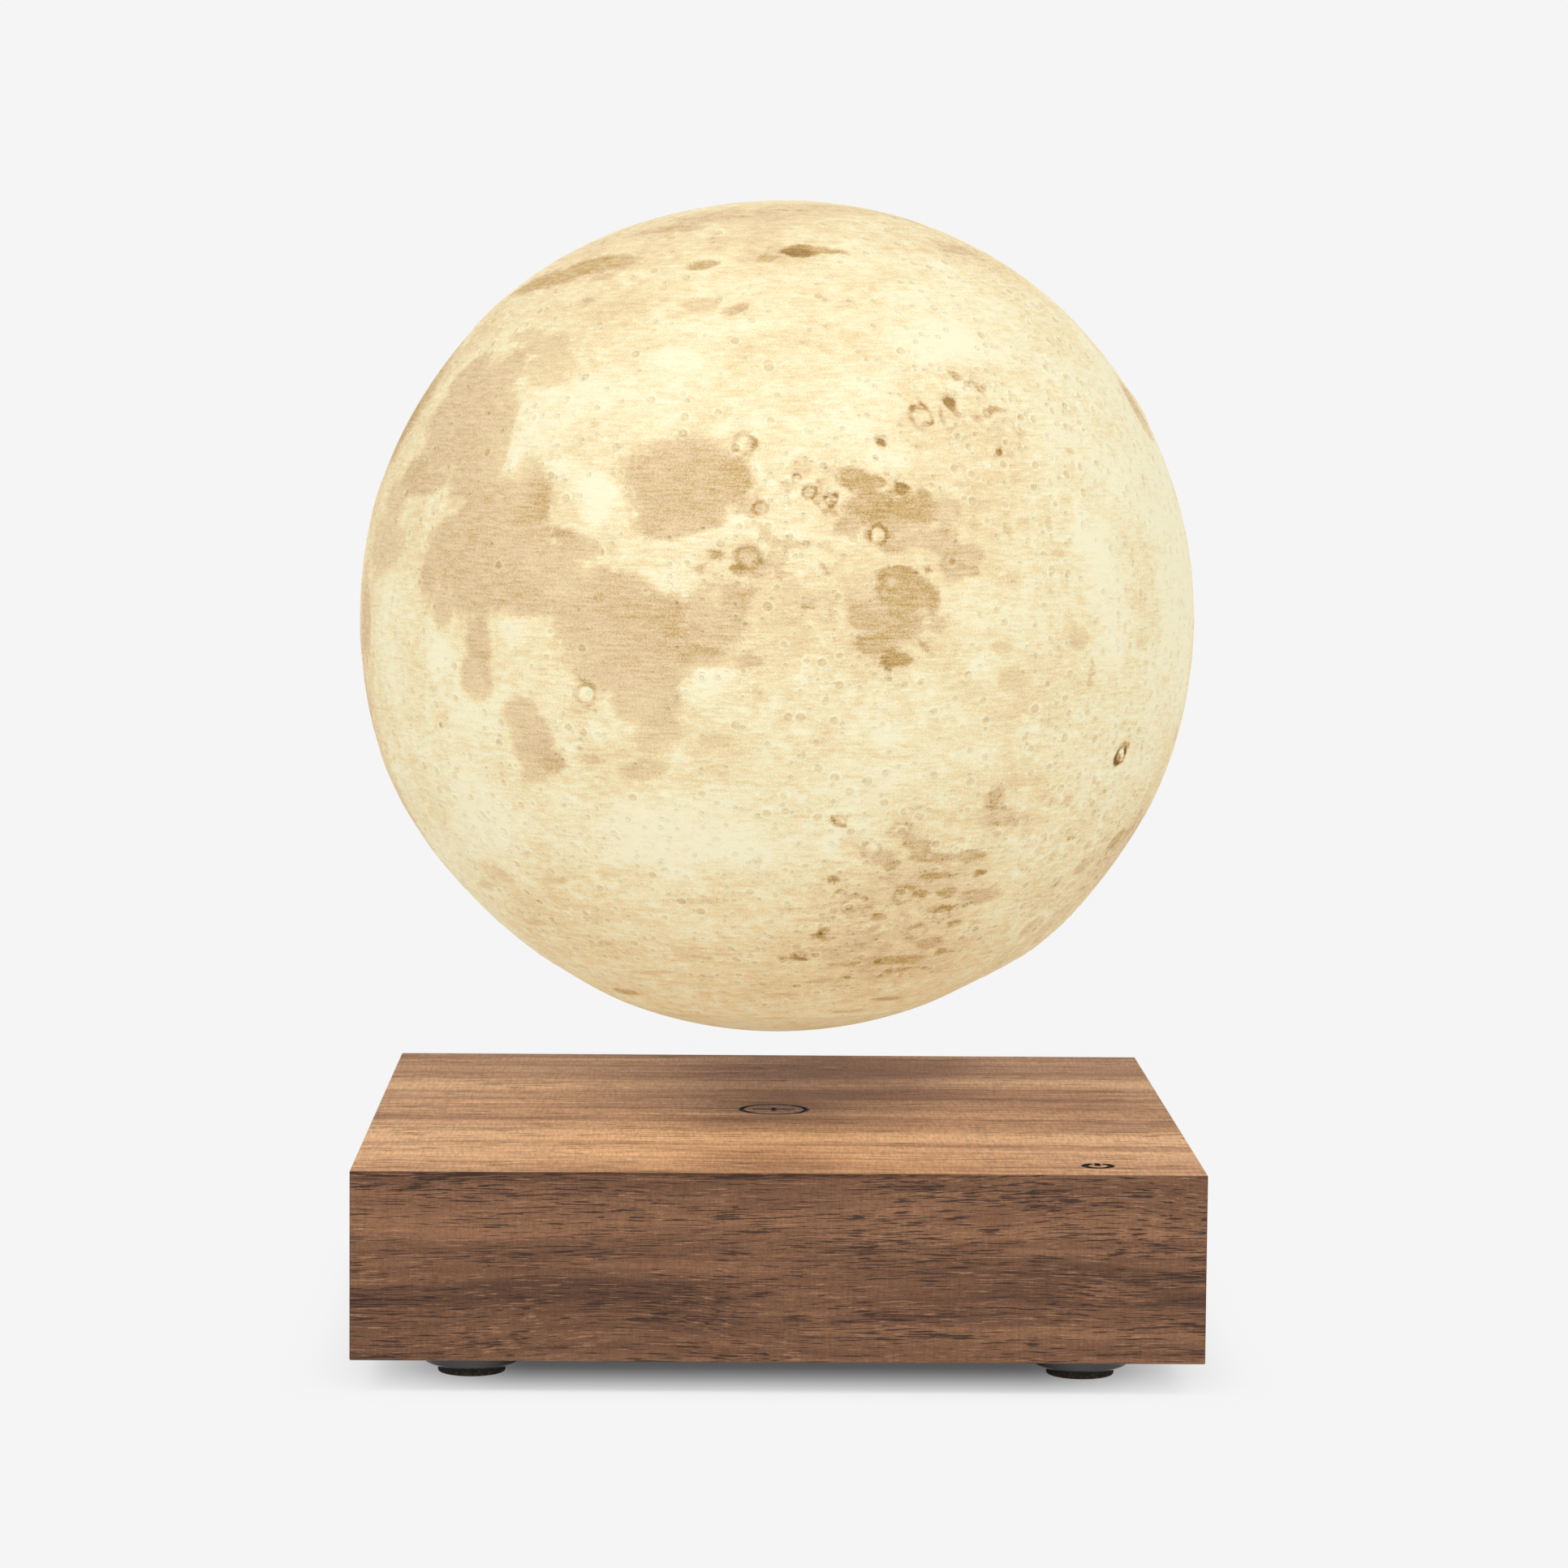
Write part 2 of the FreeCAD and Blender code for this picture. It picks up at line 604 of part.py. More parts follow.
def board_connectors():
    """The sockets at the board's edges for the power leads and for the touch lead."""
    edge = BOARD_SIDE / 2 - CONNECTOR_DEPTH / 2
    return Part.makeCompound([
        slab(CONNECTOR_WIDTH, CONNECTOR_DEPTH, CONNECTOR_BOTTOM, BOARD_BOTTOM, 0, edge),
        slab(CONNECTOR_DEPTH, CONNECTOR_DEPTH, CONNECTOR_BOTTOM, BOARD_BOTTOM, TOUCH_LEAD_X, -edge),
    ])


# ---------------------------------------------------------------- power inlet


def along_back(radius, start, end, x=0.0):
    """A round bar square to the back board, at the inlet's level, between two distances from the middle."""
    return Part.makeCylinder(radius, end - start, Vector(x, start, JACK_LEVEL), Vector(0, 1, 0))


def inlet_body():
    """The flanged socket in the back board, with its bore open to the outside."""
    mouth = HALF + JACK_FLANGE
    rear = HALF - JACK_BODY_LENGTH
    body = along_back(JACK_FLANGE_RADIUS, HALF, mouth).fuse(along_back(JACK_BODY_RADIUS, rear, HALF))
    body = body.fuse(along_back(JACK_TAIL_RADIUS, JACK_TAIL_END, rear)).removeSplitter()
    body = body.cut(along_back(JACK_BORE_RADIUS, mouth - JACK_BORE_DEPTH, mouth))
    return body.cut(along_back(JACK_PIN_ROOT_RADIUS, JACK_TAIL_END, mouth - JACK_BORE_DEPTH))


def inlet_pin():
    """The socket's middle pin, held in the body by its thicker root."""
    floor = HALF + JACK_FLANGE - JACK_BORE_DEPTH
    root = along_back(JACK_PIN_ROOT_RADIUS, JACK_TAIL_END, floor)
    return root.fuse(along_back(JACK_PIN_RADIUS, floor, floor + JACK_PIN_LENGTH))


def inlet_nut():
    """The hexagon nut that clamps the socket from inside the casing."""
    start = CAVITY_HALF - JACK_NUT
    corners = [Vector(x, start, JACK_LEVEL + z) for x, z in around(6, JACK_NUT_FLATS / math.sqrt(3))]
    nut = Part.Face(closed(corners)).extrude(Vector(0, JACK_NUT, 0))
    return nut.cut(along_back(JACK_BODY_RADIUS + FIT, start, CAVITY_HALF))


def lead_places():
    """The two sides of the socket where its leads are soldered."""
    return (-LUG_SPACING / 2, LUG_SPACING / 2)


def inlet_lugs():
    """Two soldering lugs on the socket's tail, bent down."""
    y = JACK_TAIL_END - LUG_THICKNESS / 2
    top = JACK_LEVEL + LUG_WIDTH / 2
    return Part.makeCompound([slab(LUG_WIDTH, LUG_THICKNESS, LUG_BOTTOM, top, x, y) for x in lead_places()])


def inlet_lead(x):
    """A lead from a soldering lug to the power connector."""
    return lead(x, JACK_TAIL_END - LUG_THICKNESS / 2, LUG_BOTTOM, BOARD_SIDE / 2, LEAD_LEVEL)


# ---------------------------------------------------------------- touch sensor


def touch_pad():
    """The copper disc under the power mark."""
    return rod(TOUCH_PAD_RADIUS, TOUCH_BOARD_TOP, CEILING, POWER_MARK_X, POWER_MARK_Y)


def touch_board():
    """The strip of circuit board that presses the copper disc to the wood."""
    length, width = TOUCH_BOARD_LENGTH, TOUCH_BOARD_WIDTH
    middle = TOUCH_BOARD_END - length / 2
    return slab(length, width, TOUCH_BOARD_BOTTOM, TOUCH_BOARD_TOP, middle, POWER_MARK_Y)


def touch_lead():
    """The lead from the touch board to its connector."""
    return lead(TOUCH_LEAD_X, POWER_MARK_Y, TOUCH_BOARD_BOTTOM, -BOARD_SIDE / 2, LEAD_LEVEL)


# ---------------------------------------------------------------- moon


def moon_shell():
    """The printed shell: a hollow ball with a round hole in its foot and a neck round the hole."""
    inner_radius = MOON_RADIUS - SHELL_WALL
    neck_radius = CAP_HOLE_RADIUS + NECK_WALL
    rim = at(CAP_HOLE_RADIUS, sphere_level(CAP_HOLE_RADIUS, MOON_RADIUS))
    crown, crown_inside = at(0, MOON_CENTRE + MOON_RADIUS), at(0, MOON_CENTRE + inner_radius)
    neck_root = at(neck_radius, sphere_level(neck_radius, inner_radius))
    neck_top_out, neck_top_in = at(neck_radius, CAP_SKIRT_TOP), at(CAP_HOLE_RADIUS, CAP_SKIRT_TOP)
    waist, waist_inside = at(MOON_RADIUS, MOON_CENTRE), at(inner_radius, MOON_CENTRE)
    return turned(Part.Wire([
        moon_arc(rim, waist, MOON_RADIUS),
        moon_arc(waist, crown, MOON_RADIUS),
        line(crown, crown_inside),
        moon_arc(crown_inside, waist_inside, inner_radius),
        moon_arc(waist_inside, neck_root, inner_radius),
        line(neck_root, neck_top_out),
        line(neck_top_out, neck_top_in),
        line(neck_top_in, rim),
    ]))


def moon_cap():
    """The white cap in the moon's foot: it carries the receiver, and its middle is a magnet pocket."""
    flat_edge = at(CAP_FLAT_RADIUS, CAP_FLAT)
    rim = at(CAP_RADIUS, sphere_level(CAP_RADIUS, MOON_RADIUS))
    outline = [
        at(CAP_RADIUS, CAP_SKIRT_TOP),
        at(CAP_INNER_RADIUS, CAP_SKIRT_TOP),
        at(CAP_INNER_RADIUS, CAP_SHELF),
        at(MAGNET_POCKET_OUTER, CAP_SHELF),
        at(MAGNET_POCKET_OUTER, DECK),
        at(MAGNET_POCKET_RADIUS, DECK),
        at(MAGNET_POCKET_RADIUS, MAGNET_POCKET_FLOOR),
        at(0, MAGNET_POCKET_FLOOR),
    ]
    edges = [line(at(0, CAP_FLAT), flat_edge), moon_arc(flat_edge, rim, MOON_RADIUS), line(rim, outline[0])]
    edges += [line(a, b) for a, b in zip(outline, outline[1:])]
    edges.append(line(outline[-1], at(0, CAP_FLAT)))
    cap = turned(Part.Wire(edges))
    for x, y in around(BOSSES, BOSS_CIRCLE, 90):
        boss = rod(BOSS_RADIUS, CAP_SHELF, DECK, x, y)
        boss = boss.common(rod(CAP_INNER_RADIUS + CAP_SKIRT / 2, CAP_SHELF, DECK))
        cap = cap.fuse(boss).cut(rod(MACHINE_SCREW_RADIUS + FIT, CAP_SHELF, DECK, x, y))
    return cap.removeSplitter()


def lifting_magnet():
    """The disc magnet that the base holds in the air."""
    bottom = MAGNET_POCKET_FLOOR + BODY_GAP
    return rod(LIFT_MAGNET_RADIUS, bottom, bottom + LIFT_MAGNET_HEIGHT)


def receiver_ring(bottom, thickness):
    """A flat ring on the cap's shelf, round the magnet pocket."""
    inner = MAGNET_POCKET_OUTER + LOOSE
    return tube(inner + RECEIVER_COIL_WIDTH, inner, bottom, bottom + thickness)


def rectifier_board():
    """The round board on the cap's deck that turns the received current into light current."""
    board = rod(CAP_INNER_RADIUS - LOOSE, DECK, RECTIFIER_TOP)
    for x, y in around(BOSSES, BOSS_CIRCLE, 90):
        board = board.cut(rod(MACHINE_SCREW_RADIUS + FIT, DECK, RECTIFIER_TOP, x, y))
    return board


def led_spacers():
    """Three spacers between the rectifier board and the light board."""
    return Part.makeCompound([
        tube(SPACER_RADIUS, MACHINE_SCREW_RADIUS + FIT, RECTIFIER_TOP, LED_BOARD_BOTTOM, x, y)
        for x, y in around(BOSSES, BOSS_CIRCLE, 90)
    ])


def led_board():
    """The round aluminium light board."""
    board = rod(BOSS_CIRCLE + SPACER_RADIUS, LED_BOARD_BOTTOM, LED_BOARD_TOP)
    for x, y in around(BOSSES, BOSS_CIRCLE, 90):
        board = board.cut(rod(MACHINE_SCREW_RADIUS + FIT, LED_BOARD_BOTTOM, LED_BOARD_TOP, x, y))
    return board


def led_chips():
    """Twelve light chips, nine in a ring and three in the middle."""
    places = around(OUTER_LED_COUNT, OUTER_LED_CIRCLE) + around(INNER_LED_COUNT, INNER_LED_CIRCLE)
    return Part.makeCompound([slab(LED_SIDE, LED_SIDE, LED_BOARD_TOP, LED_BOARD_TOP + LED_HEIGHT, x, y)
                              for x, y in places])


def cap_screws():
    """Three screws down through the light board, spacers and rectifier board into the cap."""
    head_top = LED_BOARD_TOP + MACHINE_SCREW_HEAD
    screws = [screw_down(x, y, head_top, MACHINE_SCREW_HEAD_RADIUS, MACHINE_SCREW_HEAD,
                         MACHINE_SCREW_RADIUS, CAP_SHELF + FIT)
              for x, y in around(BOSSES, BOSS_CIRCLE, 90)]
    return Part.makeCompound(screws)


def diffuser_dome():
    """The opal dome over the light chips: a cap of a hollow ball that stands on the light board."""
    ball = (DOME_RADIUS**2 + DOME_HEIGHT**2) / (2 * DOME_HEIGHT)
    centre = Vector(0, 0, LED_BOARD_TOP + DOME_HEIGHT - ball)
    shell = Part.makeSphere(ball, centre).cut(Part.makeSphere(ball - DOME_WALL, centre))
    return shell.common(rod(2 * ball, LED_BOARD_TOP, LED_BOARD_TOP + 2 * ball))


# ---------------------------------------------------------------- all pieces


def pieces():
    """Every node's name and shape."""
    made = {"top_board": top_board()}
    for name, board in side_boards().items():
        made[f"{name}_board"] = board
    made["corner_blocks"] = corner_blocks()
    made["bottom_cover"] = bottom_cover()
    made["cover_screws"] = cover_screws()
    for name, (sx, sy) in CORNERS.items():
        made[f"foot_collar_{name}"] = foot_collar(sx * FOOT_PLACE, sy * FOOT_PLACE)
        made[f"foot_pad_{name}"] = foot_pad(sx * FOOT_PLACE, sy * FOOT_PLACE)
    made["foot_screws"] = foot_screws()

    made["module_tray"] = module_tray()
    made["module_lid"] = rod(TRAY_RADIUS, LID_BOTTOM, LID_TOP)
    made["tray_screws"] = tray_screws()
    made["ring_magnet"] = tube(MAGNET_RING_RADIUS, MAGNET_RING_BORE, TRAY_INSIDE,
                               TRAY_INSIDE + MAGNET_RING_THICKNESS)
    made["coil_bobbins"] = coil_bobbins()
    for number, (x, y) in enumerate(coil_places(), 1):
        made[f"coil_winding_{number}"] = coil_winding(x, y)
    made["coil_cores"] = coil_cores()
    made["sensor_post"] = slab(HALL_POST_SIDE, HALL_POST_SIDE, TRAY_INSIDE, hall_board_bottom())
    made["sensor_board"] = slab(HALL_BOARD_SIDE, HALL_BOARD_SIDE, hall_board_bottom(),
                                hall_board_bottom() + HALL_BOARD)
    made["position_sensors"] = hall_sensors()
    made["sender_coil"] = tube(SENDER_COIL_RADIUS, SENDER_COIL_BORE, LID_TOP, LID_TOP + SENDER_COIL_THICKNESS)

    made["main_board"] = main_board()
    made["board_screws"] = board_screws()
    made["controller_chip"] = controller_chip()
    made["driver_chips"] = driver_chips()
    made["power_capacitors"] = power_capacitors()
    made["board_connectors"] = board_connectors()

    made["inlet_body"] = inlet_body()
    made["inlet_pin"] = inlet_pin()
    made["inlet_nut"] = inlet_nut()
    made["inlet_lugs"] = inlet_lugs()
    for name, x in zip(("black", "red"), lead_places()):
        made[f"inlet_lead_{name}"] = inlet_lead(x)
    made["touch_pad"] = touch_pad()
    made["touch_board"] = touch_board()
    made["touch_lead"] = touch_lead()

    made["moon_shell"] = moon_shell()
    made["moon_cap"] = moon_cap()
    made["lifting_magnet"] = lifting_magnet()
    made["receiver_coil"] = receiver_ring(CAP_SHELF, RECEIVER_COIL_THICKNESS)
    made["receiver_ferrite"] = receiver_ring(CAP_SHELF + RECEIVER_COIL_THICKNESS, FERRITE)
    made["rectifier_board"] = rectifier_board()
    made["led_spacers"] = led_spacers()
    made["led_board"] = led_board()
    made["led_chips"] = led_chips()
    made["cap_screws"] = cap_screws()
    made["diffuser_dome"] = diffuser_dome()
    return made


os.makedirs("parts", exist_ok=True)
for node, shape in pieces().items():
    if not shape.isValid():
        print("not valid:", node)
    shape.exportStep(f"parts/{node}.step")
    print(f"{node}: {len(shape.Solids)} solid(s), {shape.Volume / 1000:.2f} cm3")
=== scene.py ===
"""Looks of a levitating moon lamp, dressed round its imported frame.

A printed moon with a light in it hovers over a square walnut casing. Lengths are metres, +Z is up and
the casing's front faces -Y, as in the frame. Sizes that a maker reads in millimetres pass through mm().
"""

import logging
import math
from dataclasses import dataclass, field
from enum import Enum
from typing import NamedTuple

import bmesh
import bpy
import numpy as np
from mathutils import Euler, Matrix, Vector


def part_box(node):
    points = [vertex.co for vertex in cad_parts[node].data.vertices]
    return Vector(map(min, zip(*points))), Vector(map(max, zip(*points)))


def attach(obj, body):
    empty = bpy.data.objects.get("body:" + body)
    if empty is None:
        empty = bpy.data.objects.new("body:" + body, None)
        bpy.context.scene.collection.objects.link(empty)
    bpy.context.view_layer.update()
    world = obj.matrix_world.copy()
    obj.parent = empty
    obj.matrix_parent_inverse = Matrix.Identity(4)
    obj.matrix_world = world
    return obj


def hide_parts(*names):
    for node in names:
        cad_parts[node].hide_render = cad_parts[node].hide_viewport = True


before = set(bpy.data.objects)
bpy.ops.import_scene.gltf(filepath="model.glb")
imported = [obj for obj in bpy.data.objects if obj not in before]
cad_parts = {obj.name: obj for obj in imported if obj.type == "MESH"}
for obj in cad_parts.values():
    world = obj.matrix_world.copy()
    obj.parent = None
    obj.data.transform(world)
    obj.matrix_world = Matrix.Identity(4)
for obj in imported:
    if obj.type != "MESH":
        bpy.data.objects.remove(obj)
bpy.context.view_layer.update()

log = logging.getLogger("moon_lamp")

Material = bpy.types.Material
Mesh = bpy.types.Mesh
Node = bpy.types.Node
Socket = bpy.types.NodeSocket
Value = float | int | str | bool | tuple | Vector | Socket | Material
Inputs = dict[int | str, Value]
Triple = tuple[float, float, float]
Colour = tuple[float, float, float, float]


# ---------------------------------------------------------------- units, colours, node trees


def mm(length: float) -> float:
    """Millimetres as metres."""
    return length / 1000


def srgb(red: int, green: int, blue: int) -> Colour:
    """Turns a colour as a screen shows it into a linear one.

    Args:
        red: Red, from 0 to 255.
        green: Green, from 0 to 255.
        blue: Blue, from 0 to 255.

    Returns:
        The linear colour, with an alpha of 1.
    """
    shown = [channel / 255 for channel in (red, green, blue)]
    linear = [c / 12.92 if c <= 0.04045 else ((c + 0.055) / 1.055) ** 2.4 for c in shown]
    return (*linear, 1.0)


class Graph:
    """A node tree that is being built, for a finish or for a shape."""

    def __init__(self, tree: bpy.types.NodeTree) -> None:
        """Starts on a tree and empties it."""
        self.tree = tree
        self.tree.nodes.clear()

    def feed(self, socket: Socket, value: Value) -> None:
        """Links a socket to another one, or gives it a value.

        Args:
            socket: The socket that gets it.
            value: The other socket, or a value.
        """
        if isinstance(value, Socket):
            self.tree.links.new(value, socket)
        else:
            socket.default_value = value

    def add(self, kind: str, inputs: Inputs | None = None, **options: Value) -> Node:
        """Adds one node.

        Args:
            kind: The node's type name.
            inputs: Values or links for its sockets, by name or number.
            **options: The node's own settings.

        Returns:
            The new node.
        """
        node = self.tree.nodes.new(kind)
        for option, value in options.items():
            setattr(node, option, value)
        for key, value in (inputs or {}).items():
            self.feed(node.inputs[key], value)
        return node

    def math(self, operation: str, a: Value, b: Value = 0.0) -> Socket:
        """The result of one sum on one or two numbers."""
        return self.add("ShaderNodeMath", {0: a, 1: b}, operation=operation).outputs[0]

    def chain(self, operation: str, *terms: Value) -> Socket:
        """The result of one kind of sum on several numbers in turn.

        Args:
            operation: The kind of sum.
            *terms: The numbers, in turn.

        Returns:
            The result.
        """
        result = terms[0]
        for term in terms[1:]:
            result = self.math(operation, result, term)
        return result

    def total(self, *terms: Value) -> Socket:
        """The sum of several numbers."""
        return self.chain("ADD", *terms)

    def times(self, *factors: Value) -> Socket:
        """The product of several numbers."""
        return self.chain("MULTIPLY", *factors)

    def minus(self, a: Value, b: Value) -> Socket:
        """What is left of the first number without the second."""
        return self.math("SUBTRACT", a, b)

    def over(self, a: Value, b: Value) -> Socket:
        """The first number divided by the second."""
        return self.math("DIVIDE", a, b)

    def apart(self, a: Value, b: Value) -> Socket:
        """How far apart two numbers are."""
        return self.math("ABSOLUTE", self.minus(a, b))

    def vectors(self, operation: str, a: Value, b: Value = (0, 0, 0)) -> Node:
        """A vector sum's node, whose outputs are a vector and a number."""
        return self.add("ShaderNodeVectorMath", {0: a, 1: b}, operation=operation)

    def vector(self, x: Value = 0.0, y: Value = 0.0, z: Value = 0.0) -> Socket:
        """A vector from three numbers."""
        return self.add("ShaderNodeCombineXYZ", {0: x, 1: y, 2: z}).outputs[0]

    def reach(self, x: Value, y: Value) -> Socket:
        """The length of a flat offset."""
        return self.vectors("LENGTH", self.vector(x, y)).outputs[1]

    def between(self, value: Value, low: float, high: float, at_low: float = 0.0,
                at_high: float = 1.0) -> Socket:
        """Eases from one number to another while a value goes from low to high.

        Args:
            value: What is read.
            low: Where the change starts.
            high: Where the change ends.
            at_low: The result below low.
            at_high: The result above high.

        Returns:
            The eased number.
        """
        ends = {0: value, 1: low, 2: high, 3: at_low, 4: at_high}
        return self.add("ShaderNodeMapRange", ends, interpolation_type="SMOOTHSTEP").outputs[0]

    def noise(self, place: Socket, per_metre: Value, detail: float = 3.0, roughness: float = 0.5) -> Socket:
        """Cloudy noise from about 0 to 1.

        Args:
            place: Where it is read.
            per_metre: How many clouds fit in a metre.
            detail: How many finer layers it has.
            roughness: How strong the finer layers are.

        Returns:
            The noise.
        """
        sizes = {"Vector": place, "Scale": per_metre, "Detail": detail, "Roughness": roughness}
        return self.add("ShaderNodeTexNoise", sizes).outputs[0]

    def stretched(self, place: Socket, per_metre: Triple, shift: float = 0.0) -> Socket:
        """The place, counted in another number of steps per metre along each axis."""
        sizes = {"Vector": place, "Scale": per_metre, "Location": (shift, shift, shift)}
        return self.add("ShaderNodeMapping", sizes).outputs[0]


class Surface(Graph):
    """A material that is being built, on the piece's own coordinates."""

    def __init__(self, name: str) -> None:
        """Makes an empty material and finds the place on the piece.

        Args:
            name: The material's name.
        """
        self.material = bpy.data.materials.new(name)
        self.material.use_nodes = True
        super().__init__(self.material.node_tree)
        self.place = self.add("ShaderNodeTexCoord").outputs["Object"]

    def blend(self, share: Value, a: Value, b: Value, how: str = "MIX") -> Socket:
        """Mixes two colours.

        Args:
            share: How much of the second one is used.
            a: The first colour.
            b: The second colour.
            how: The blend type.

        Returns:
            The mixed colour.
        """
        inputs = {0: share, 6: a, 7: b}
        return self.add("ShaderNodeMix", inputs, data_type="RGBA", blend_type=how).outputs[2]

    def scaled(self, colour: Socket | Colour, factor: Value) -> Socket:
        """A colour made darker or lighter by a number."""
        start = colour if isinstance(colour, Socket) else colour[:3]
        return self.add("ShaderNodeVectorMath", {0: start, "Scale": factor}, operation="SCALE").outputs[0]

    def cells(self, place: Socket, per_metre: float, feature: str = "F1") -> Socket:
        """The distance to the nearest of scattered points, or to the nearest border between them."""
        sizes = {"Vector": place, "Scale": per_metre}
        return self.add("ShaderNodeTexVoronoi", sizes, feature=feature).outputs["Distance"]

    def painted(self, name: str) -> Socket:
        """A number that is stored on the mesh's points."""
        return self.add("ShaderNodeAttribute", attribute_name=name).outputs["Fac"]

    def axes(self, place: Socket | None = None) -> list[Socket]:
        """The place's three coordinates."""
        return list(self.add("ShaderNodeSeparateXYZ", {0: place or self.place}).outputs)

    def bump(self, height: Value, depth: float) -> Socket:
        """A normal that a height from 0 to 1 bends, over a real depth in metres."""
        return self.add("ShaderNodeBump", {"Height": height, "Distance": depth, "Strength": 1.0}).outputs[0]

    def finish(self, **inputs: Value) -> Material:
        """Ends in the standard shader.

        Args:
            **inputs: The shader's sockets, by their names with underscores for spaces.

        Returns:
            The material.
        """
        named = {name.replace("_", " "): value for name, value in inputs.items()}
        shader = self.add("ShaderNodeBsdfPrincipled", named)
        self.add("ShaderNodeOutputMaterial", {"Surface": shader.outputs[0]})
        return self.material


# ---------------------------------------------------------------- finishes


class Grain(Enum):
    """The way that a board's fibres run, as a turn in degrees."""

    ALONG_X = 0.0
    ALONG_Y = 90.0


class Steps(NamedTuple):
    """How many steps of a noise fit in a metre, along the fibres and across them."""

    along: float
    across: float


class Bar(NamedTuple):
    """A straight stroke of a burnt mark: half its length both ways, and how far behind the mark it is."""

    half_x: float
    half_y: float
    behind: float


class Mark(NamedTuple):
    """A mark burnt into the top board: its place, its ring with a gap at the back, and its bars."""

    x: float
    y: float
    inner: float
    outer: float
    half_gap_deg: float
    bars: tuple[Bar, ...]


class Band(NamedTuple):
    """A paler or darker band in a board: where it runs, half its width and its strength."""

    offset: float
    half_width: float
    strength: float


class Cloud(NamedTuple):
    """A paler or darker place in a board: its middle and half its size along and across the fibres."""

    along: float
    across: float
    half_length: float
    half_width: float
    strength: float


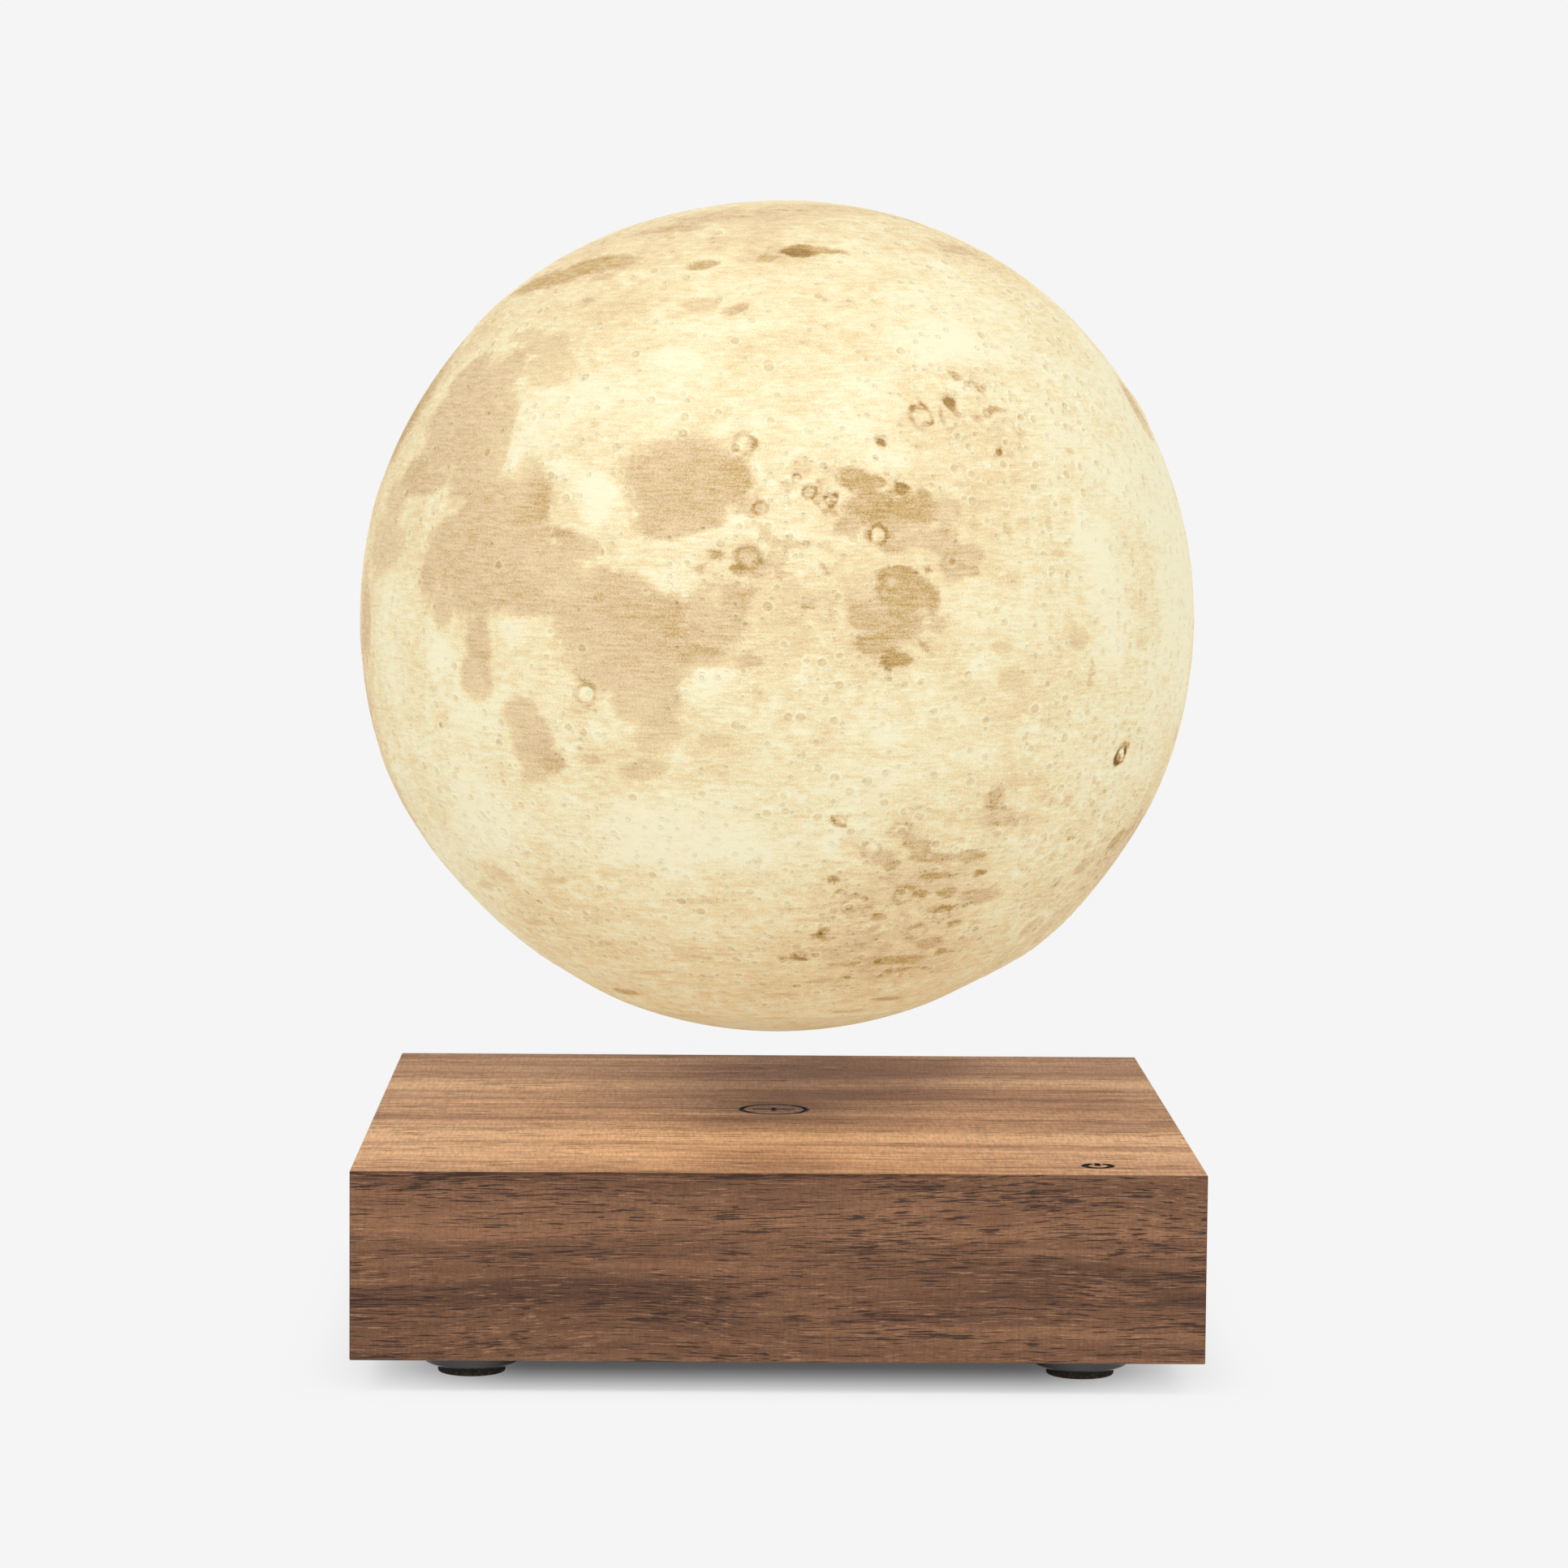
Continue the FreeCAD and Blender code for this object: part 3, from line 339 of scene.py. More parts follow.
@dataclass(frozen=True)
class Walnut:
    """Oiled walnut with a straight grain, dark pores and pale flecks."""

    name: str
    dark: Colour
    middle: Colour
    light: Colour
    pore: Colour
    fleck: Colour
    grain: Grain = Grain.ALONG_X
    figure: tuple[Band, ...] = ()
    clouds: tuple[Cloud, ...] = ()
    figure_axis: int = 1
    seed: float = 0.0
    drift: Steps = Steps(9, 26)
    drift_reach: float = mm(9)
    bands: Steps = Steps(4, 110)
    streaks: Steps = Steps(14, 550)
    band_share: float = 0.60
    dark_to_middle: tuple[float, float] = (0.34, 0.52)
    middle_to_light: tuple[float, float] = (0.50, 0.68)
    pores: Steps = Steps(150, 3900)
    pore_share: float = 0.56
    pore_edge: float = 0.07
    pore_strength: float = 0.9
    pore_groups: Steps = Steps(22, 190)
    pore_grouping: float = 0.40
    fleck_offset: Triple = (mm(0.8), mm(0.2), mm(0.3))
    fleck_edges: tuple[float, float] = (0.03, 0.12)
    fleck_strength: float = 0.45
    ripples: Steps = Steps(1700, 210)
    ripple: float = 0.55
    specks: Steps = Steps(1500, 2900)
    speck: float = 1.1
    roughness: float = 0.5
    gloss: float = 0.3
    pore_sink: float = 0.7
    streak_rise: float = 0.4
    ripple_rise: float = 0.15
    relief: float = mm(0.06)
    char: Colour = srgb(22, 16, 12)
    char_depth: float = mm(0.6)
    char_edges: tuple[float, float] = (mm(-0.04), mm(0.10))

    def fibres(self, surface: Surface, place: Socket, steps: Steps, detail: float,
               roughness: float = 0.5, shift: float | None = None) -> Socket:
        """Noise that is drawn out along the fibres.

        Args:
            surface: The material that is being built.
            place: Where it is read.
            steps: How fine it is.
            detail: How many finer layers it has.
            roughness: How strong the finer layers are.
            shift: Where in the noise it starts, if not at the board's own seed.

        Returns:
            The noise.
        """
        start = self.seed if shift is None else shift
        drawn = surface.stretched(place, (steps.along, steps.across, steps.across), start)
        return surface.noise(drawn, 1.0, detail, roughness)

    def board_place(self, surface: Surface) -> Socket:
        """The place on the board, turned so that its first axis runs with the fibres and drifts a little.

        Args:
            surface: The finish that is being built.

        Returns:
            The turned place.
        """
        turned = {"Vector": surface.place, "Rotation": (0, 0, math.radians(self.grain.value))}
        place = surface.add("ShaderNodeMapping", turned).outputs[0]
        drift = self.fibres(surface, place, self.drift, 2.0)
        lift = surface.times(surface.minus(drift, 0.5), self.drift_reach)
        return surface.vectors("ADD", place, surface.vector(0.0, lift, lift)).outputs[0]

    def tone(self, surface: Surface, place: Socket, streaks: Socket) -> Socket:
        """How pale the wood is, from its bands, its streaks, its figure and, on the top, the painted shadow
        under the moon.

        Args:
            surface: The finish that is being built.
            place: The place on the board.
            streaks: The noise of the streaks.

        Returns:
            The tone.
        """
        bands = self.fibres(surface, place, self.bands, 4.0, 0.6)
        mixed = surface.total(surface.times(bands, self.band_share),
                              surface.times(streaks, 1.0 - self.band_share))
        return surface.total(mixed, *self.figure_tones(surface, place))

    def figure_tones(self, surface: Surface, place: Socket) -> list[Socket]:
        """How much paler or darker each band and cloud makes the wood: the board's figure, and on the top
        also the painted shadow under the moon.

        Args:
            surface: The finish that is being built.
            place: The place on the board.

        Returns:
            One number for each band and cloud.
        """
        axes = surface.axes(place)
        along, across = axes[0], axes[self.figure_axis]
        tones = []
        for band in self.figure:
            away = surface.apart(across, band.offset)
            start, end = 0.4 * band.half_width, 1.3 * band.half_width
            tones.append(surface.between(away, start, end, band.strength, 0.0))
        for cloud in self.clouds:
            ahead = surface.over(surface.minus(along, cloud.along), cloud.half_length)
            aside = surface.over(surface.minus(across, cloud.across), cloud.half_width)
            tones.append(surface.between(surface.reach(ahead, aside), 0.3, 1.3, cloud.strength, 0.0))
        return tones

    def pores_and_flecks(self, surface: Surface, place: Socket) -> tuple[Socket, Socket]:
        """Where the dark pores are, and where pale flecks show beside them.

        Args:
            surface: The finish that is being built.
            place: The place on the board.

        Returns:
            The pores, then the flecks.
        """
        dashes = self.fibres(surface, place, self.pores, 2.0)
        crowd = self.fibres(surface, place, self.pore_groups, 2.0, shift=self.seed + 3)
        depth = surface.total(dashes, surface.times(surface.minus(crowd, 0.5), self.pore_grouping))
        beside = surface.vectors("ADD", place, self.fleck_offset).outputs[0]
        pale = self.fibres(surface, beside, self.pores, 2.0)
        start, end = (self.pore_share + edge for edge in self.fleck_edges)
        return (surface.between(depth, self.pore_share, self.pore_share + self.pore_edge),
                surface.between(pale, start, end))

    def material(self, marks: tuple[Mark, ...] = (), top: float = 0.0) -> Material:
        """Builds the finish.

        Args:
            marks: Where marks are burnt into a board's upper face.
            top: The level of that face.

        Returns:
            The material.
        """
        surface = Surface(self.name)
        place = self.board_place(surface)
        streaks = self.fibres(surface, place, self.streaks, 4.0, 0.6)
        ripple = self.fibres(surface, place, self.ripples, 2.0, 0.6)
        speck = self.fibres(surface, place, self.specks, 2.0, 0.8, shift=0.0)
        tone = self.tone(surface, place, streaks)
        pores, flecks = self.pores_and_flecks(surface, place)
        colour = surface.blend(surface.between(tone, *self.dark_to_middle), self.dark, self.middle)
        colour = surface.blend(surface.between(tone, *self.middle_to_light), colour, self.light)
        colour = surface.blend(surface.times(flecks, self.fleck_strength), colour, self.fleck)
        colour = surface.blend(surface.times(pores, self.pore_strength), colour, self.pore)
        shade = surface.total(surface.times(ripple, self.ripple), surface.times(speck, self.speck),
                              1.0 - (self.ripple + self.speck) / 2)
        colour = surface.scaled(colour, shade)
        if marks:
            colour = self.burnt(surface, colour, marks, top)
        height = surface.total(surface.times(pores, -self.pore_sink),
                               surface.times(streaks, self.streak_rise),
                               surface.times(ripple, self.ripple_rise))
        rough = surface.between(tone, 0.3, 0.7, self.roughness + 0.08, self.roughness - 0.04)
        rough = surface.total(rough, surface.times(pores, 0.15))
        return surface.finish(Base_Color=colour, Roughness=rough, Specular_IOR_Level=self.gloss,
                              Normal=surface.bump(height, self.relief))

    def burnt(self, surface: Surface, colour: Socket, marks: tuple[Mark, ...], top: float) -> Socket:
        """Chars each engraved mark and a little of the wood beside its grooves.

        Args:
            surface: The material that is being built.
            colour: The wood's colour.
            marks: Where the marks are.
            top: The level of the board's upper face.

        Returns:
            The colour with its burnt marks.
        """
        x, y, z = surface.axes()
        upper = surface.math("GREATER_THAN", z, top - self.char_depth)
        for mark in marks:
            aside = surface.minus(x, mark.x)
            behind = surface.minus(y, mark.y)
            middle = (mark.inner + mark.outer) / 2
            ring = self.within(surface, surface.reach(aside, behind), middle, mark.outer - middle)
            bearing = surface.math("ABSOLUTE", surface.math("ARCTAN2", aside, behind))
            closed = surface.math("GREATER_THAN", bearing, math.radians(mark.half_gap_deg))
            charred = surface.times(ring, closed)
            for bar in mark.bars:
                stroke = surface.times(self.within(surface, aside, 0.0, bar.half_x),
                                       self.within(surface, behind, bar.behind, bar.half_y))
                charred = surface.math("MAXIMUM", charred, stroke)
            colour = surface.blend(surface.times(upper, charred), colour, self.char)
        return colour

    def within(self, surface: Surface, value: Socket, middle: float, half: float) -> Socket:
        """1 where a length is within half a width of a middle, and 0 a hair further out."""
        start, end = (half + edge for edge in self.char_edges)
        return surface.between(surface.apart(value, middle), start, end, 1.0, 0.0)


@dataclass(frozen=True)
class MoonPose:
    """Where the moon's centre is, how large it is, and how its map is turned."""

    centre: Vector
    radius: float
    turn_deg: Triple = (4.4, 0.9, -161.7)

    def turn(self) -> Matrix:
        """The turn from the moon's own axes to the frame's."""
        return Euler([math.radians(angle) for angle in self.turn_deg]).to_matrix()

    def facing(self, north: float, east: float) -> Vector:
        """The direction of a place on the moon, whose latitude and longitude are in degrees.

        Args:
            north: The latitude.
            east: The longitude.

        Returns:
            The direction.
        """
        level, around = math.radians(north), math.radians(east)
        flat = math.cos(level)
        own = Vector((flat * math.cos(around), flat * math.sin(around), math.sin(level)))
        return self.turn() @ own


class Tone(NamedTuple):
    """A stop on the print's scale of tones: how dark it is, and the colour there."""

    darkness: float
    colour: Colour


class Layer(NamedTuple):
    """A layer of noise on the print: its shape, its steps per metre, its detail and how strong it is."""

    name: str
    shape: Triple
    per_metre: float
    detail: float
    roughness: float
    strength: float
    land_only: bool = False
    shift: float = 0.0

    def read(self, surface: Surface) -> Socket:
        """The layer's noise."""
        place = surface.stretched(surface.place, self.shape, self.shift)
        return surface.noise(place, self.per_metre, self.detail, self.roughness)


class SpotSize(NamedTuple):
    """A size of small crater: how many fit in a metre, how readily they show, and how dark they are."""

    per_metre: float
    share: float
    strength: float


@dataclass(frozen=True)
class MoonPrint:
    """The moon's printed skin: pale and lit through from inside, with its seas, rays and small craters, and
    painted light and shade along its limbs.
    """

    name: str
    pose: MoonPose
    flat: float
    share_lit: float = 0.49
    share_skin: float = 0.50
    light_tint: Colour = (1.0, 0.975, 0.92, 1.0)
    full_scale: float = 1.4
    tones: tuple[Tone, ...] = (
        Tone(0.00, srgb(253, 247, 214)), Tone(0.20, srgb(248, 235, 193)), Tone(0.40, srgb(241, 217, 168)),
        Tone(0.60, srgb(227, 202, 166)), Tone(0.80, srgb(207, 174, 111)), Tone(1.00, srgb(176, 141, 84)),
        Tone(1.40, srgb(118, 89, 46)),
    )
    ground: float = 0.22
    sea_strength: float = 0.52
    coast_swing: float = 0.62
    coast: tuple[float, float] = (0.30, 0.78)
    tone_and_limb_shading_strength: float = 0.34
    crater_strength: float = 0.24
    bowl_strength: float = 0.20
    lip_strength: float = 0.13
    spot_sizes: tuple[SpotSize, ...] = (SpotSize(300.0, 0.10, 1.0), SpotSize(620.0, 0.08, 0.8))
    spot_radii: tuple[float, float] = (0.30, 0.17)
    pitted_share: float = 0.62
    calm_share: float = 0.25
    land_in_sea: float = 0.45
    landmark_wobble: tuple[float, float] = (0.82, 1.18)
    landmark_rim: float = 0.92
    layers: tuple[Layer, ...] = (
        Layer("cloud", (1, 1, 1.3), 26.0, 3.0, 0.6, 0.50, land_only=True, shift=4.0),
        Layer("mottle", (1, 1, 1.5), 75.0, 5.0, 0.6, 0.62, land_only=True),
        Layer("blotch", (1, 1, 2.4), 330.0, 5.0, 0.66, 0.72, land_only=True),
        Layer("dashes", (260, 260, 1900), 1.0, 3.0, 0.6, 0.62),
        Layer("printed", (30, 30, 2900), 1.0, 2.0, 0.5, 0.16),
        Layer("grain", (1, 1, 1), 3000.0, 2.0, 0.9, 1.05),
    )
    relief: float = mm(0.35)

    def scale_of_tones(self, surface: Surface, darkness: Socket) -> Socket:
        """The print's colour at a darkness.

        Args:
            surface: The finish that is being built.
            darkness: The darkness.

        Returns:
            The colour.
        """
        node = surface.add("ShaderNodeValToRGB", {0: surface.over(darkness, self.full_scale)})
        stops = node.color_ramp.elements
        for tone in self.tones[1:-1]:
            stops.new(tone.darkness / self.full_scale)
        for stop, tone in zip(stops, self.tones):
            stop.position = tone.darkness / self.full_scale
            stop.color = tone.colour
        return node.outputs[0]

    def swing(self, surface: Surface, noise: Socket, strength: Value) -> Socket:
        """Noise as a change of darkness, up and down alike."""
        return surface.times(surface.minus(noise, 0.5), strength)

    def seas(self, surface: Surface) -> Socket:
        """Where the seas are, from 0 to 1, with frayed coasts.

        Args:
            surface: The finish that is being built.

        Returns:
            The share of sea.
        """
        coast = surface.noise(surface.place, 170.0, 6.0, 0.62)
        fringe = surface.noise(surface.stretched(surface.place, (1, 1, 1.8)), 800.0, 4.0, 0.7)
        frayed = surface.total(surface.painted("sea"), self.swing(surface, coast, self.coast_swing),
                               self.swing(surface, fringe, self.coast_swing))
        return surface.between(frayed, *self.coast)

    def spots(self, surface: Surface, size: SpotSize) -> tuple[Socket, Socket]:
        """Small round craters that crowd where the print is pitted.

        Args:
            surface: The material that is being built.
            size: How small they are, and how readily they show.

        Returns:
            How deep each place is in a crater, and how high on a crater's lip.
        """
        cell = surface.add("ShaderNodeTexVoronoi", {"Vector": surface.place, "Scale": size.per_metre})
        chance = surface.add("ShaderNodeSeparateColor", {0: cell.outputs["Color"]}).outputs[0]
        crowd = surface.total(surface.times(surface.painted("pitted"), self.pitted_share), size.share)
        calm = surface.between(surface.painted("sea"), 0.45, 0.9, 1.0, self.calm_share)
        shows = surface.math("LESS_THAN", chance, surface.times(crowd, calm))
        radius = surface.between(chance, 0.0, 1.0, *self.spot_radii)
        reach = surface.over(cell.outputs["Distance"], radius)
        bowl = surface.times(surface.between(reach, 0.55, 1.0, 1.0, 0.0), shows)
        rise = surface.between(reach, 0.85, 1.1)
        fall = surface.between(reach, 1.15, 1.7, 1.0, 0.0)
        return surface.times(bowl, size.strength), surface.times(rise, fall, shows)

    def landmarks(self, surface: Surface) -> tuple[Socket, Socket]:
        """The craters that are known by their places.

        Args:
            surface: The material that is being built.

        Returns:
            How much darker they make each place, and how deep it is in one of them.
        """
        offset = surface.vectors("SUBTRACT", surface.place, self.pose.centre).outputs[0]
        direction = surface.vectors("NORMALIZE", offset).outputs[0]
        wobble = surface.between(surface.noise(surface.place, 520.0, 2.0), 0.2, 0.8, *self.landmark_wobble)
        darker: list[Socket] = []
        depths: list[Socket] = []
        for mark in LANDMARKS:
            facing = self.pose.facing(mark.north, mark.east)
            away = surface.vectors("DISTANCE", direction, facing).outputs[1]
            reach = surface.times(surface.over(away, math.radians(mark.radius)), wobble)
            bowl = surface.between(reach, 0.55, 1.0, 1.0, 0.0)
            rim = surface.between(surface.apart(reach, self.landmark_rim), 0.08, 0.42, mark.rim, 0.0)
            darker.append(surface.total(surface.times(bowl, mark.floor), rim))
            depths.append(bowl)
        return surface.total(*darker), surface.total(*depths)

    def material(self) -> Material:
        """Builds the finish from the numbers painted on the moon's points and from noise.

        Returns:
            The material.
        """
        surface = Surface(self.name)
        sea = self.seas(surface)
        land = surface.between(sea, 0.0, 1.0, 1.0, self.land_in_sea)
        noises = {layer.name: layer.read(surface) for layer in self.layers}
        swings = [
            self.swing(surface, noises[layer.name],
                       surface.times(land, layer.strength) if layer.land_only else layer.strength)
            for layer in self.layers
        ]
        bowls, lips = zip(*(self.spots(surface, size) for size in self.spot_sizes))
        hollow = surface.times(surface.total(*bowls), self.bowl_strength)
        raised = surface.times(surface.total(*lips), self.lip_strength)
        known, sunk = self.landmarks(surface)
        darkness = surface.total(
            self.ground,
            surface.times(surface.painted("sea_depth"), self.sea_strength, sea),
            known,
            # The tone is the rays and darker areas, with painted light and shade along the limbs.
            surface.times(surface.painted("tone"), -self.tone_and_limb_shading_strength),
            surface.times(surface.painted("crater"), -self.crater_strength),
            *swings,
            hollow,
            surface.times(raised, -1.0),
        )
        colour = self.scale_of_tones(surface, darkness)
        height = surface.total(surface.times(hollow, -3.0), surface.times(raised, 3.0),
                               surface.times(sunk, -0.8), surface.times(noises["dashes"], 0.45),
                               surface.times(noises["blotch"], 0.9))
        lit = surface.blend(1.0, colour, self.light_tint, "MULTIPLY")
        lit = surface.scaled(lit, self.light_inside(surface))
        return surface.finish(Base_Color=surface.scaled(colour, self.share_skin), Roughness=0.62,
                              Specular_IOR_Level=0.25, Emission_Color=lit, Emission_Strength=self.share_lit,
                              Normal=surface.bump(height, self.relief))

    def light_inside(self, surface: Surface) -> Socket:
        """How much of the light inside reaches a level: least by the foot, and next to none in its flat.

        Args:
            surface: The finish that is being built.

        Returns:
            The share of light.
        """
        radius = self.pose.radius
        low, high = self.pose.centre.z - radius, self.pose.centre.z + radius
        level = surface.axes()[2]
        foot = surface.between(level, low, low + 0.45 * radius, 0.94, 1.0)
        crown = surface.between(level, high - 0.20 * radius, high, 1.0, 0.94)
        opaque = surface.between(level, self.flat + mm(0.02), self.flat + mm(0.12), 0.06, 1.0)
        return surface.times(foot, crown, opaque)


@dataclass(frozen=True)
class Moulded:
    """Moulded plastic or rubber with a fine texture."""

    name: str
    colour: Colour
    roughness: float = 0.45
    gloss: float = 0.5
    grains_per_metre: float = 2200.0
    clouds_per_metre: float = 90.0
    grain_depth: float = mm(0.03)
    variation: float = 0.12
    glow: float = 0.0

    def material(self) -> Material:
        """Builds the finish.

        Returns:
            The material.
        """
        surface = Surface(self.name)
        grain = surface.noise(surface.place, self.grains_per_metre, 3.0, 0.6)
        cloud = surface.noise(surface.place, self.clouds_per_metre)
        shade = surface.total(1.0 - self.variation, surface.times(grain, self.variation),
                              surface.times(cloud, self.variation))
        rough = surface.between(grain, 0.3, 0.7, self.roughness - 0.05, self.roughness + 0.07)
        return surface.finish(Base_Color=surface.scaled(self.colour, shade), Roughness=rough,
                              Specular_IOR_Level=self.gloss, Emission_Color=self.colour,
                              Emission_Strength=self.glow, Normal=surface.bump(grain, self.grain_depth))


@dataclass(frozen=True)
class Granular:
    """Dark pressed granules, worn brown at the lower edge."""

    name: str
    colour: Colour
    worn: Colour
    granules_per_metre: float = 1500.0
    granule_depth: float = mm(0.12)
    wear_noise_per_metre: float = 900.0
    wear_swing: float = mm(0.3)
    wear_levels: tuple[float, float] = (mm(-0.1), mm(0.35))
    wear_share: float = 0.8

    def material(self) -> Material:
        """Builds the finish.

        Returns:
            The material.
        """
        surface = Surface(self.name)
        granules = surface.cells(surface.place, self.granules_per_metre)
        noise = surface.noise(surface.place, self.wear_noise_per_metre, 3.0, 0.7)
        level = surface.total(surface.axes()[2], surface.times(noise, -self.wear_swing))
        wear = surface.between(level, *self.wear_levels, self.wear_share, 0.0)
        colour = surface.blend(wear, self.colour, self.worn)
        colour = surface.scaled(colour, surface.between(granules, 0.0, 0.6, 1.5, 0.5))
        return surface.finish(Base_Color=colour, Roughness=0.85, Specular_IOR_Level=0.3,
                              Normal=surface.bump(granules, self.granule_depth))


class Polish(Enum):
    """How a metal's surface was worked: the steps per metre of its scratches along each axis."""

    TUMBLED = (900.0, 900.0, 900.0)
    TURNED = (60.0, 60.0, 4200.0)


@dataclass(frozen=True)
class Metal:
    """A bare or plated metal with fine scratches."""

    name: str
    colour: Colour
    roughness: float = 0.32
    polish: Polish = Polish.TUMBLED
    stains_per_metre: float = 160.0
    scratch_depth: float = mm(0.02)

    def material(self) -> Material:
        """Builds the finish.

        Returns:
            The material.
        """
        surface = Surface(self.name)
        scratches = surface.noise(surface.stretched(surface.place, self.polish.value), 1.0, 4.0, 0.65)
        stain = surface.noise(surface.place, self.stains_per_metre)
        shade = surface.total(0.72, surface.times(scratches, 0.3), surface.times(stain, 0.25))
        rough = surface.between(scratches, 0.3, 0.7, self.roughness - 0.08, self.roughness + 0.12)
        return surface.finish(Base_Color=surface.scaled(self.colour, shade), Roughness=rough, Metallic=1.0,
                              Normal=surface.bump(scratches, self.scratch_depth))


@dataclass(frozen=True)
class EnamelledWire:
    """Copper wire under a clear amber enamel, a little uneven from turn to turn."""

    name: str
    colour: Colour = srgb(206, 122, 66)
    tints_per_metre: float = 420.0
    enamel_depth: float = mm(0.02)

    def material(self) -> Material:
        """Builds the finish.

        Returns:
            The material.
        """
        surface = Surface(self.name)
        tint = surface.noise(surface.place, self.tints_per_metre, 3.0, 0.6)
        colour = surface.scaled(self.colour, surface.between(tint, 0.3, 0.7, 0.75, 1.15))
        return surface.finish(Base_Color=colour, Roughness=surface.between(tint, 0.3, 0.7, 0.24, 0.36),
                              Metallic=0.85, Coat_Weight=0.5, Coat_Roughness=0.15,
                              Normal=surface.bump(tint, self.enamel_depth))


@dataclass(frozen=True)
class CircuitBoard:
    """Glass board under a solder mask, with tracks under it and tinned pads."""

    name: str
    mask: Colour
    track: Colour
    pad: Colour
    tracks_per_metre: float = 420.0
    zones_per_metre: float = 60.0
    pads_per_metre: float = 260.0
    weave_per_metre: float = 2400.0
    flattened: Triple = (1.0, 1.0, 0.02)
    mask_depth: float = mm(0.03)

    def material(self) -> Material:
        """Builds the finish.

        Returns:
            The material.
        """
        surface = Surface(self.name)
        place = surface.stretched(surface.place, self.flattened)
        zone = surface.between(surface.noise(place, self.zones_per_metre, 1.0), 0.48, 0.52)
        edges = surface.cells(place, self.tracks_per_metre, "DISTANCE_TO_EDGE")
        tracks = surface.times(surface.between(edges, 0.10, 0.14, 1.0, 0.0), zone)
        dots = surface.cells(place, self.pads_per_metre)
        pads = surface.times(surface.between(dots, 0.16, 0.20, 1.0, 0.0), zone)
        weave = surface.noise(surface.place, self.weave_per_metre, 2.0)
        colour = surface.blend(tracks, self.mask, self.track)
        colour = surface.blend(pads, colour, self.pad)
        colour = surface.scaled(colour, surface.between(weave, 0.3, 0.7, 0.9, 1.08))
        height = surface.total(tracks, surface.times(pads, 0.6))
        return surface.finish(Base_Color=colour, Roughness=surface.between(pads, 0.0, 1.0, 0.38, 0.25),
                              Metallic=surface.times(pads, 0.9), Specular_IOR_Level=0.5,
                              Normal=surface.bump(height, self.mask_depth))


@dataclass(frozen=True)
class Sintered:
    """Pressed and fired ferrite: dull, dark and finely speckled."""

    name: str
    colour: Colour
    speckle: Colour
    specks_per_metre: float = 3000.0
    clouds_per_metre: float = 70.0
    speck_depth: float = mm(0.03)

    def material(self) -> Material:
        """Builds the finish.

        Returns:
            The material.
        """
        surface = Surface(self.name)
        specks = surface.noise(surface.place, self.specks_per_metre, 3.0, 0.8)
        cloud = surface.noise(surface.place, self.clouds_per_metre, 4.0)
        share = surface.times(surface.between(specks, 0.56, 0.70), surface.between(cloud, 0.3, 0.7))
        colour = surface.blend(share, self.colour, self.speckle)
        return surface.finish(Base_Color=colour, Roughness=surface.between(specks, 0.3, 0.7, 0.6, 0.75),
                              Specular_IOR_Level=0.35, Normal=surface.bump(specks, self.speck_depth))


# ---------------------------------------------------------------- helpers for pieces


def dress(material: Material, *nodes: str) -> None:
    """Gives CAD nodes a finish.

    Args:
        material: The finish.
        *nodes: The nodes' names.
    """
    for name in nodes:
        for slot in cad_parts[name].material_slots:
            slot.material = material
    log.info("%s on %s", material.name, ", ".join(nodes))


def put_in_scene(name: str, data: bpy.types.ID) -> bpy.types.Object:
    """Puts a new object that holds a mesh, a lamp or a camera in the scene.

    Args:
        name: The object's name.
        data: What it holds.

    Returns:
        The object.
    """
    thing = bpy.data.objects.new(name, data)
    bpy.context.scene.collection.objects.link(thing)
    return thing


def add_piece(name: str, mesh: Mesh, material: Material) -> bpy.types.Object:
    """Makes a piece of a mesh.

    Args:
        name: The piece's name.
        mesh: Its mesh, already in place.
        material: Its finish.

    Returns:
        The piece, at the origin.
    """
    mesh.name = name
    mesh.materials.clear()
    mesh.materials.append(material)
    return put_in_scene(name, mesh)


def ride_for(piece: bpy.types.Object, body: str, slot: str, *nodes: str) -> None:
    """Puts a piece on its body, in the place of its CAD nodes.

    Args:
        piece: The finished piece.
        body: The body that it rides on.
        slot: The record's material slot; not used.
        *nodes: The CAD nodes that it stands for.
    """
    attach(piece, body)
    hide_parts(*nodes)
    log.info("%s rides on %s, %d faces", piece.name, body, len(piece.data.polygons))


def circle(radius: float, level: float, count: int, middle: Vector) -> list[Triple]:
    """Evenly spaced points round an upright axis."""
    turns = [2 * math.pi * i / count for i in range(count)]
    return [(middle.x + radius * math.cos(a), middle.y + radius * math.sin(a), level) for a in turns]


def bridge(shape: bmesh.types.BMesh, rings: list[list[bmesh.types.BMVert]]) -> None:
    """Joins each ring of points to the next one with a band of faces.

    Args:
        shape: The shape that is being edited.
        rings: Rings with the same number of points.
    """
    for below, above in zip(rings, rings[1:]):
        for i in range(len(below)):
            j = (i + 1) % len(below)
            shape.faces.new((below[i], above[i], above[j], below[j]))


def mesh_from(shape: bmesh.types.BMesh, name: str) -> Mesh:
    """Turns a shape that is being edited into a mesh.

    Args:
        shape: The shape that is being edited.
        name: The mesh's name.

    Returns:
        The mesh.
    """
    mesh = bpy.data.meshes.new(name)
    shape.to_mesh(mesh)
    shape.free()
    return mesh


def places_of(mesh: Mesh) -> np.ndarray:
    """The places of a mesh's points, one in each row.

    Args:
        mesh: The mesh.

    Returns:
        The places.
    """
    places = np.empty(len(mesh.vertices) * 3, np.float32)
    mesh.vertices.foreach_get("co", places)
    return places.reshape(-1, 3)


